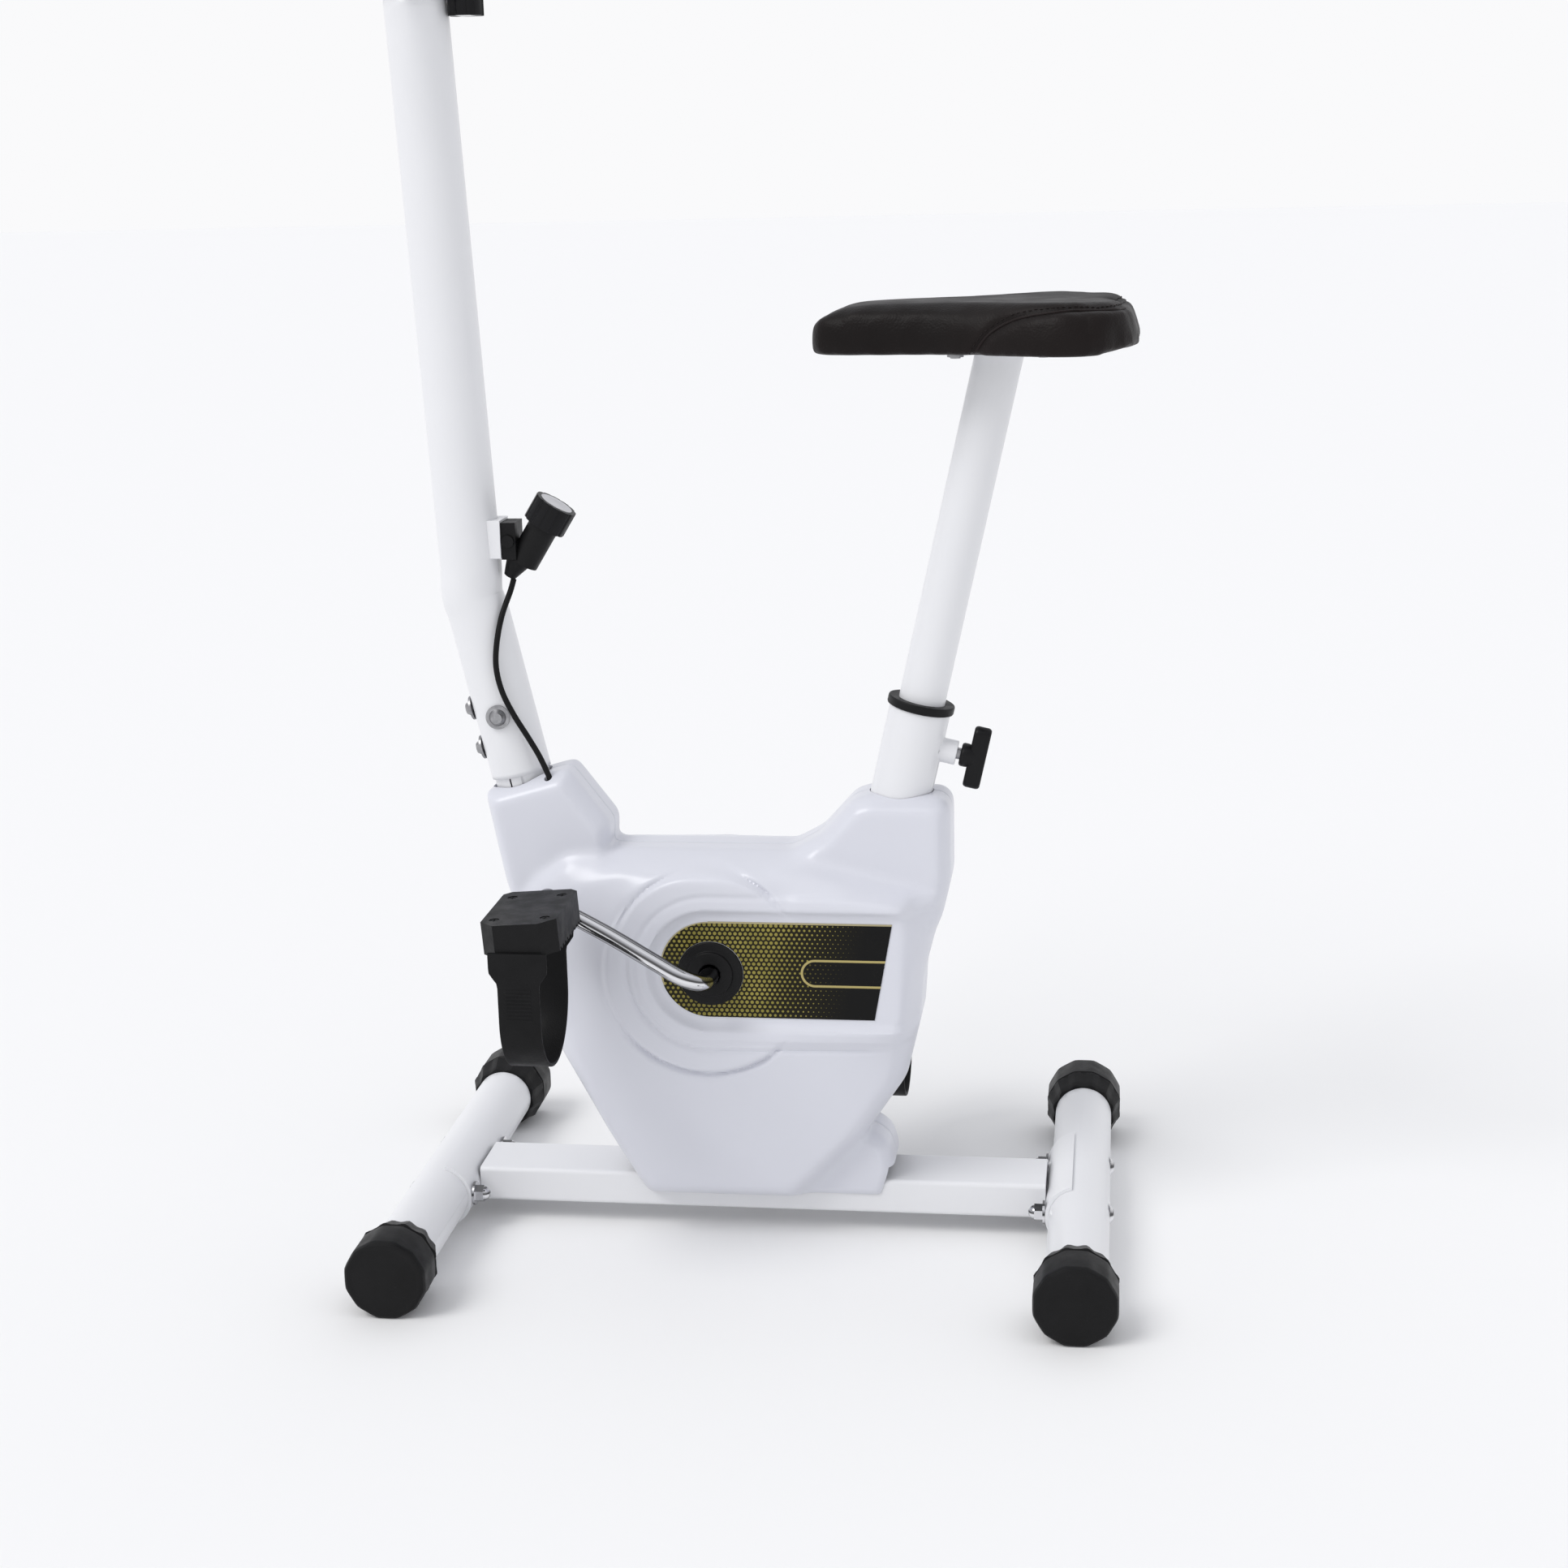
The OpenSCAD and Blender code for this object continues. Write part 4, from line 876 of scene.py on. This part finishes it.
def seat_blank():
    """A closed cushion, a little smaller than the finished one."""
    outline = rounded_outline(SEAT_PLAN, 4.0, 10)
    inward = inward_of(outline)
    loops = []
    rear = smooth_step(outline[:, 0], REAR_FROM, REAR_TO)[:, None]
    for inset, at_rear, share in SIDE_RINGS:
        ring = outline + (inset + (at_rear - inset) * rear) * inward
        low = level(SEAT_LOW, ring[:, 0])
        z = low + 1.5 + share * (level(SEAT_TOP, ring[:, 0]) - 3 - low)
        loops.append([Vector((x, y, h)) * MM for (x, y), h in zip(ring, z)])
    spine = np.stack([np.clip(outline[:, 0], 96, 262), np.zeros(len(outline))], 1)
    rim = outline + SIDE_RINGS[-1][0] * inward
    for share in (0.25, 0.5, 0.75, 0.97):
        ring = rim + share * (spine - rim)
        dish = 3.0 * share * smooth_step(ring[:, 0], 120, 220)
        z = level(SEAT_TOP, ring[:, 0]) - 2.0 - dish
        loops.append([Vector((x, y, h)) * MM for (x, y), h in zip(ring, z)])
    bottom = [Vector((0.6 * (v.x - 0.19) + 0.19, 0.5 * v.y, v.z)) for v in loops[0]]
    return plain_object("cushion_blank", *loft([bottom] + loops))


def hollow_cutter():
    """The space in the cushion's underside that its moulded base fills."""
    along, across = HOLLOW_SCALE
    ring = [(HOLLOW_MID + along * (x - HOLLOW_MID), across * y)
            for x, y in rounded_outline(SEAT_PLAN, 4.0, 10)]
    loops = [[Vector((x, y, z)) * MM for x, y in ring] for z in HOLLOW_LEVELS]
    return plain_object("cushion_hollow", *loft(loops))


def remeshed(obj, voxel):
    remesh = obj.modifiers.new("even_faces", "REMESH")
    remesh.mode = "VOXEL"
    remesh.voxel_size = voxel
    mesh = evaluated_mesh(obj)
    obj.modifiers.clear()
    obj.data = mesh


def inflate(obj, reach):
    """Blows the cover up like foam pressing on it, moving no point further than reach."""
    start = np.array([v.co for v in obj.data.vertices])
    cloth = obj.modifiers.new("cover", "CLOTH")
    for key, value in COVER_CLOTH.items():
        setattr(cloth.settings, key, value)
    cloth.settings.effector_weights.gravity = 0
    base = obj.vertex_groups.new(name="base")
    low = start[:, 2].min()
    base.add([int(i) for i in np.nonzero(start[:, 2] < low + 0.0045)[0]], 1.0, "REPLACE")
    cloth.settings.vertex_group_mass = "base"
    scene = bpy.context.scene
    for step in range(1, CLOTH_STEPS + 1):
        scene.frame_set(step)
    mesh = evaluated_mesh(obj)
    obj.modifiers.clear()
    scene.frame_set(1)
    moved = np.array([v.co for v in mesh.vertices]) - start
    length = np.linalg.norm(moved, axis=1)
    share = np.minimum(1, reach / np.maximum(length, 1e-9))
    place = start + moved * share[:, None]
    place[:, 2] = np.maximum(place[:, 2], SEAT_UNDERSIDE)
    mesh.vertices.foreach_set("co", place.astype(np.float32).ravel())
    mesh.update()
    obj.data = mesh


def seam_path(tree, side):
    """The curved side seam, laid on the cover: up the side, back along the shoulder to the rear."""
    guide = spline([Vector((x, side * 130, z)) * MM for x, z in SEAM], 8)
    path = []
    for p in guide:
        hit = tree.ray_cast(p, Vector((0, -side, 0)))[0]
        if hit is not None:
            path.append(hit)
    return path


def rear_seam(tree, start_x):
    """Round the back of the cover at shoulder height, from one side to the other."""
    path = []
    for k in range(61):
        a = math.radians(-90 + 3 * k)
        out = Vector((math.cos(a), math.sin(a), 0))
        origin = Vector((start_x, 0, 0.7695 - 0.0015 * max(0, math.cos(a)))) + 0.2 * out
        hit = tree.ray_cast(origin, -out)[0]
        if hit is not None:
            path.append(hit)
    return path


def build_seat():
    cushion = seat_blank()
    remeshed(cushion, VOXEL)
    inflate(cushion, SWELL)
    calm = cushion.modifiers.new("calm", "SMOOTH")
    calm.factor = 0.5
    calm.iterations = 6
    soft_part = cushion.vertex_groups.new(name="soft_part")
    for v in cushion.data.vertices:
        soft_part.add([v.index], 1 - 0.85 * float(smooth_step(np.array(v.co.x), 0.290, 0.303)), "REPLACE")
    calm.vertex_group = "soft_part"
    finer = cushion.modifiers.new("finer", "SUBSURF")
    finer.levels = 1
    cutter = hollow_cutter()
    cut_away(cushion, cutter)
    mesh = evaluated_mesh(cushion)
    cushion.modifiers.clear()
    cushion.data = mesh
    bpy.data.objects.remove(cutter)
    bm = bmesh.new()
    bm.from_mesh(mesh)
    tree = BVHTree.FromBMesh(bm)
    left = seam_path(tree, -1)
    right = seam_path(tree, 1)
    back = rear_seam(tree, 0.262)
    path = left + back + right[::-1]
    even = resampled(path, 0.002)
    sink_along(bm, even, 0.0022, 0.0045)
    bm.to_mesh(mesh)
    tree = BVHTree.FromBMesh(bm)
    bm.free()
    mesh.shade_smooth()
    mesh.materials.clear()
    mesh.materials.append(MATS["vinyl"])
    cushion.name = "seat_cover"
    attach(cushion, "seat")
    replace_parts(cushion, "seat_cushion")
    piping = [tree.find_nearest(p)[0] for p in even]
    tube("seat_seam_piping", softened(piping, 3), 0.0011, 10, MATS["vinyl"], "seat", "seat_vinyl")
    stitches(piping, tree)


def resampled(path, step):
    out = [path[0].copy()]
    carry = 0.0
    for a, b in zip(path, path[1:]):
        length = (b - a).length
        while carry + step <= length:
            carry += step
            out.append(a.lerp(b, carry / length))
        carry -= length
    return out


def softened(path, passes):
    p = np.array([tuple(v) for v in path])
    for _ in range(passes):
        p[1:-1] = 0.5 * p[1:-1] + 0.25 * (p[:-2] + p[2:])
    return [Vector(v) for v in p]


def sink_along(bm, path, depth, width):
    """Presses the surface in along a line of points, as a pulled seam does."""
    line = np.array([tuple(v) for v in path])
    bm.normal_update()
    for v in bm.verts:
        gap = np.min(np.sum((line - np.array(v.co)) ** 2, axis=1))
        if gap < (3 * width) ** 2:
            v.co -= v.normal * depth * math.exp(-gap / width ** 2)
    bm.normal_update()


def stitches(path, tree):
    """Short thread stitches beside the piping."""
    parts = []
    even = resampled(softened(path, 3), 0.0045)
    for a, b in zip(even[:-1:1], even[1::1]):
        ahead = (b - a).normalized()
        _, normal, _, _ = tree.find_nearest(a)
        across = normal.cross(ahead).normalized()
        spot, normal, _, _ = tree.find_nearest(a + 0.0042 * across)
        mid = spot + 0.0002 * normal
        route = [mid - 0.0014 * ahead - 0.0003 * normal, mid + 0.00025 * normal,
                 mid + 0.0014 * ahead - 0.0003 * normal]
        parts.append(loft(rings(route, 0.00035, 6)))
    piece("seat_stitches", *merged(parts), MATS["vinyl"], "seat", "seat_vinyl")


# ---------------------------------------------------------------- other smooth pieces
# Foot strap, in metres. Heights are from the spindle, and PEDAL_MID is how far out the pedal's middle lies.
PEDAL_MID = 0.154
STRAP_TOP, STRAP_LEGS = -0.0095, -0.066
STRAP_HALF, STRAP_THICK = 0.0491, 0.003
# Half widths of the band beside the pedal and below it, and the small teeth on its legs
BAND_WIDE, BAND_NARROW = 0.023, 0.0165
TEETH, TOOTH_PITCH, TOOTH_HALF, TOOTH_RISE = 9, 0.003, 0.010, 0.0004
# End cap: its place along X, where it starts on the tube, and (radius, distance) along its outline
FOOT_X, FOOT_START, FOOT_R = 0.270, 0.170, 0.034
HALF_FACET = math.radians(15)
FOOT_PROFILE = [(0.0255, 0.0), (0.0276, 0.0003), (0.0282, 0.0012), (0.0300, 0.007), (0.0330, 0.0165),
                (0.0338, 0.0185), (0.0338, 0.0195), (0.0326, 0.0202), (0.0326, 0.0216), (0.0339, 0.0226),
                (0.0340, 0.025), (0.0340, 0.050), (0.0337, 0.0522), (0.0326, 0.0540), (0.0312, 0.0547),
                (0.0290, 0.0548), (0.0275, 0.0543), (0.0265, 0.0543), (0.010, 0.0543)]
# Half of the handlebar from the clamp outwards, in millimetres. A grip starts GRIP_FROM points along it.
BAR_ROUTE = [(0, 0, 0), (0, 24, 0), (0, 44, 0), (-10, 72, 6), (-32, 100, 22), (-48.3, 138, 44),
             (-40, 178, 60), (-12, 208, 66), (28, 221, 64), (76, 222, 56), (140, 222, 40)]
BAR_STEPS, GRIP_FROM = 12, 22 / 3
BAR_R, GRIP_R = 0.0127, 0.0163
# Crank arm: distances along the arm and out from the bike's middle, in millimetres
ARM_ROUTE = [(0, 48), (0, 80), (3, 92), (10, 100), (22, 103.5), (44, 101.5), (84, 97), (119, 97), (137, 97)]
ARM_R, NECK_EXTRA = 0.0068, 0.0011
# The eye at the arm's end: (radius, distance out)
EYE_PROFILE = [(0.0085, 0.0902), (0.0095, 0.0912), (0.0095, 0.1030), (0.0085, 0.1040)]
# Tension cable from its control into the housing, in millimetres
CABLE_ROUTE = [(-194, 0, 553), (-196, -5, 544), (-201, -17, 526), (-204, -26, 506), (-205, -29, 486),
               (-201, -30, 466), (-192, -30, 446), (-181, -28, 426), (-172, -26, 408), (-163, -26, 385),
               (-152, -28, 350), (-140, -31, 318), (-128, -33, 288), (-118, -34, 266), (-115, -34, 250.2)]
CABLE_R, POST_R = 0.0024, 0.025


def band_section(half_wide, half_thick, corner):
    """Points round a flat strip with rounded edges, in its own (wide, thick) axes."""
    pts = []
    for sx, sy, start in ((1, 1, 0), (-1, 1, 90), (-1, -1, 180), (1, -1, 270)):
        for k in range(4):
            a = math.radians(start + 30 * k)
            pts.append((sx * (half_wide - corner) + corner * math.cos(a),
                        sy * (half_thick - corner) + corner * math.sin(a)))
    return pts


def strap_piece(name, centre, y_side, body):
    """The foot strap: wide where it is screwed to the pedal, narrow round the hanging loop."""
    mid = STRAP_HALF - STRAP_THICK / 2
    path = []
    for k in range(15):
        path.append((-mid, STRAP_TOP + (STRAP_LEGS - STRAP_TOP) * k / 14))
    for k in range(1, 40):
        a = math.pi + math.pi * k / 40
        path.append((mid * math.cos(a), STRAP_LEGS + mid * math.sin(a)))
    for k in range(15):
        path.append((mid, STRAP_LEGS + (STRAP_TOP - STRAP_LEGS) * k / 14))
    loops = []
    for i, (u, z) in enumerate(path):
        a, b = path[max(i - 1, 0)], path[min(i + 1, len(path) - 1)]
        ahead = Vector((0, b[0] - a[0], b[1] - a[1])).normalized()
        across = Vector((0, -ahead.z, ahead.y))
        narrow = smooth_step(np.array(-z), 0.024, 0.036)
        wide = BAND_WIDE + (BAND_NARROW - BAND_WIDE) * float(narrow)
        section = band_section(wide, STRAP_THICK / 2, 0.0011)
        origin = centre + Vector((0, y_side * (PEDAL_MID + u), z))
        flip = Vector((across.x, y_side * across.y, across.z))
        loops.append([origin + Vector((p, 0, 0)) + q * flip for p, q in section])
    obj = piece(name, *loft(loops), MATS["rubber"], body, "black_rubber")
    obj.data.set_sharp_from_angle(angle=math.radians(50))
    parts = []
    for u_side in (-1, 1):
        y = centre.y + y_side * (PEDAL_MID + u_side * STRAP_HALF)
        for k in range(TEETH):
            z = centre.z - 0.040 - TOOTH_PITCH * k
            parts.append(box_solid((centre.x - TOOTH_HALF, y - TOOTH_RISE, z),
                                   (centre.x + TOOTH_HALF, y + TOOTH_RISE, z + 0.0014)))
    ribs = piece(name + "_teeth", *merged(parts), MATS["rubber"], body, "black_rubber", smooth=False)
    soften(ribs, 0.0003, 2)
    return obj


def cap_ring(radius, y, bulge, sides=12, steps=6):
    """One loop of a twelve-sided cap with rounded corners, flat side down."""
    pts = []
    for k in range(sides * steps):
        a = 2 * math.pi * k / (sides * steps)
        facet = (a + HALF_FACET) % (2 * HALF_FACET) - HALF_FACET
        flat = radius * math.cos(HALF_FACET) / math.cos(facet)
        round_off = 0.012 * radius * (abs(facet) / HALF_FACET) ** 4
        scallop = bulge * math.cos(facet * 12)
        pts.append(((flat - round_off + scallop) * math.cos(a - math.pi / 2), y,
                    (flat - round_off + scallop) * math.sin(a - math.pi / 2)))
    return pts


def end_cap(name, x, side):
    """A moulded foot: flared skirt, groove and a domed end."""
    axis_z = FOOT_R * math.cos(HALF_FACET)
    loops = []
    for r, along in FOOT_PROFILE:
        bulge = -0.0007 if along < 0.019 and r > 0.027 else 0.0
        loops.append([Vector((x + px, side * (FOOT_START + py), axis_z + pz))
                      for px, py, pz in cap_ring(r, along, bulge)])
    obj = piece(name, *loft(loops), MATS["plastic"], "frame", "black_plastic")
    obj.data.set_sharp_from_angle(angle=math.radians(24))
    return obj


def build_handlebar():
    """The bent bar in one piece, and a ribbed foam grip on each end."""
    half = spline([CLAMP + Vector(p) * MM for p in BAR_ROUTE], BAR_STEPS)
    mirror = [Vector((p.x, -p.y, p.z)) for p in half]
    route = mirror[::-1] + half[1:]
    bar = tube("handlebar_tube", route, BAR_R, 32, MATS["coat"], "handlebar", "white_steel")
    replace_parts(bar, "handlebar")
    first = round(GRIP_FROM * BAR_STEPS)
    for name, side_route in (("left_grip", mirror), ("right_grip", half)):
        grip = side_route[first:]
        back = (grip[-1] - grip[-2]).normalized()
        grip = grip + [grip[-1] + 0.006 * back]
        radii = []
        total = len(grip) - 1
        for i in range(len(grip)):
            edge = min(i, total - i) / total
            ripple = 0.00035 * math.cos(i * math.pi) if 0.12 < i / total < 0.9 else 0.0
            radii.append(GRIP_R - 0.0026 * max(0.0, 1 - edge / 0.05) ** 2 + ripple)
        obj = tube(name, grip, radii, 36, MATS["foam"], "handlebar", "black_rubber")
        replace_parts(obj, "grips")


def build_crank():
    """The spindle and both bent arms, each with its pedal eye, as one chrome piece."""
    parts = [rod(CRANK, (0, 1, 0), 0.008, -0.050, 0.050, 48)]
    for side in (-1, 1):
        arm = PEDAL_OFFSET * -side
        ahead = arm.normalized()
        route = [ahead * along * MM + Vector((0, side * out * MM, 0))
                 for along, out in ARM_ROUTE]
        centres = spline(route, 10)
        radii = [ARM_R + NECK_EXTRA * float(1 - smooth_step(np.array(abs(p.y)), 0.076, 0.092))
                 for p in centres]
        parts.append(loft(rings([CRANK + p for p in centres], radii, 36)))
        parts.append(turned(EYE_PROFILE, 48, CRANK + arm, (0, side, 0)))
    crank = piece("crank_arms", *merged(parts), MATS["chrome"], "crank", "chrome")
    crank.data.set_sharp_from_angle(angle=math.radians(40))
    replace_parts(crank, "crank")


def build_seat_knob():
    """The T handle that clamps the seat post: a pill-shaped bar on a neck, and its threaded stem."""
    half_bar, sides = 0.019, 48
    third = SEAT_AXIS.cross(SEAT_ACROSS)

    def pill(out, radius):
        loop = []
        for k in range(sides):
            turn = 2 * math.pi * (k + 0.5) / sides
            along = math.copysign(half_bar, math.cos(turn)) + radius * math.cos(turn)
            loop.append(KNOB_ROOT + out * SEAT_ACROSS + along * SEAT_AXIS + radius * math.sin(turn) * third)
        return loop

    bar = [(0.0470, 0.0030), (0.0470, 0.0046), (0.0474, 0.0056), (0.0483, 0.0064), (0.0498, 0.0069),
           (0.0582, 0.0069), (0.0597, 0.0064), (0.0606, 0.0056), (0.0610, 0.0046), (0.0610, 0.0030)]
    neck = [(0.0062, 0.0400), (0.0080, 0.0400), (0.0091, 0.0406), (0.0097, 0.0420), (0.0097, 0.0455),
            (0.0090, 0.0490), (0.0050, 0.0560)]
    solids = [loft([pill(out, radius) for out, radius in bar]), turned(neck, sides, KNOB_ROOT, SEAT_ACROSS)]
    handle = piece("seat_knob_handle", *merged(solids), MATS["knob"], "seat_knob", "black_plastic")
    handle.data.set_sharp_from_angle(angle=math.radians(50))
    thread = [(0.0050 - 0.0005 * (k % 2), 0.0290 + 0.0007 * k) for k in range(18)]
    stem = piece("seat_knob_stem", *turned([(0.0050, 0.0200)] + thread, sides, KNOB_ROOT, SEAT_ACROSS),
                 MATS["steel"], "seat_knob", "chrome")
    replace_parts(handle, "seat_knob")
    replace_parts(stem, "seat_knob")


def build_straps():
    for word, side in (("left", -1), ("right", 1)):
        centre = CRANK - side * PEDAL_OFFSET
        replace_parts(strap_piece(f"{word}_strap_band", centre, side, f"{word}_pedal"), f"{word}_strap")


def build_feet():
    for end, x in (("front", -FOOT_X), ("rear", FOOT_X)):
        for word, side in (("left", -1), ("right", 1)):
            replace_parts(end_cap(f"{end}_{word}_foot", x, side), f"{end}_end_caps")


def build_cable():
    route = spline([Vector(p) * MM for p in CABLE_ROUTE], 8)
    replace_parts(tube("cable_sheath", route, CABLE_R, 16, MATS["rubber"], "frame", "black_rubber"),
                "tension_cable")


def build_post():
    """The front post's tube, bent where its lower part meets the upper one."""
    route = [POST_LOW.lerp(POST_BEND, share) for share in (-0.06, 0.40, 0.86)]
    route.append(POST_BEND + Vector((-0.0012, 0, 0)))
    route += [POST_BEND.lerp(POST_TOP, share) for share in (0.05, 0.12, 0.55)] + [POST_TOP]
    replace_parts(tube("post_tube", spline(route, 10), POST_R, 64, MATS["coat"], "frame", "white_steel"),
                "handlebar_post")


def polish(width, *names, segments=2, angle=35):
    """Smooth shading and rounded edges on CAD nodes, by modifiers only."""
    for name in names:
        obj = NODES[name]
        mesh = obj.data
        if "custom_normal" in mesh.attributes:
            mesh.attributes.remove(mesh.attributes["custom_normal"])
        if "sharp_edge" in mesh.attributes:
            mesh.attributes.remove(mesh.attributes["sharp_edge"])
        mesh.shade_smooth()
        soften_node(name, width, segments, angle)


def second_finish(name, mat, chosen):
    """Gives the faces of a CAD node whose centre passes the test a second finish."""
    mesh = NODES[name].data
    mesh.materials.append(mat)
    for face in mesh.polygons:
        if chosen(face.center):
            face.material_index = 1


build_housing()
build_seat()
build_crank()
build_seat_knob()
build_straps()
build_feet()
build_cable()
build_post()
build_handlebar()

# ---------------------------------------------------------------- finishes on the CAD nodes
paint(MATS["coat"], "main_beam", "front_saddle", "rear_saddle", "seat_tube", "front_upright",
      "front_stabilizer", "rear_stabilizer", "tension_bracket", "seat_post", "handlebar_clamp",
      "console_bracket")
paint(MATS["steel"], "crank_housing", "flywheel_bracket", "magnet_bracket", "shell_screws", "post_bolts",
      "crank_cups", "flywheel_pulley", "crank_locknut", "seat_nuts")
paint(MATS["iron"], "flywheel")
paint(MATS["chrome"], "stabilizer_bolts", "stabilizer_nuts", "flywheel_axle", "crank_bearings",
      "left_spindle", "right_spindle", "flywheel_bearings", "bracket_spring")
paint(MATS["decal"], "side_decals")
paint(MATS["plastic"], "dust_caps", "tension_housing", "seat_collar", "console_case", "crank_pulley",
      "left_pedal", "right_pedal", "seat_pan", "magnets", "left_pedal_screws", "right_pedal_screws")
paint(MATS["knob"], "tension_knob", "clamp_knob")
paint(MATS["rubber"], "drive_belt")
paint(MATS["display"], "console_screen")
paint(MATS["red"], "console_button")

polish(0.0008, "main_beam", "front_saddle", "rear_saddle", "tension_bracket", "handlebar_clamp",
       "console_bracket", "front_stabilizer", "rear_stabilizer", "seat_tube", "seat_post", "front_upright")
polish(0.0012, "left_pedal", "right_pedal", "seat_pan", "tension_housing", "seat_collar", "dust_caps")
polish(0.0011, "tension_knob", "clamp_knob", segments=3)
polish(0.0030, "console_case", segments=4)
polish(0.0004, "stabilizer_bolts", "stabilizer_nuts", "post_bolts", "seat_nuts", "crank_locknut",
       "crank_cups", "shell_screws", "console_button", "crank_housing", "flywheel_bracket")
polish(0.0005, "left_spindle", "right_spindle", "flywheel", "flywheel_pulley", "crank_pulley",
       "flywheel_axle")

second_finish("tension_knob", MATS["silver"], lambda p: (p - CONTROL).dot(CONTROL_AXIS) > 0.0098
              and (p - CONTROL).cross(CONTROL_AXIS).length < 0.0139)
second_finish("clamp_knob", MATS["chrome"], lambda p: math.hypot(p.x - CLAMP.x - 0.041, p.y) < 0.0042)
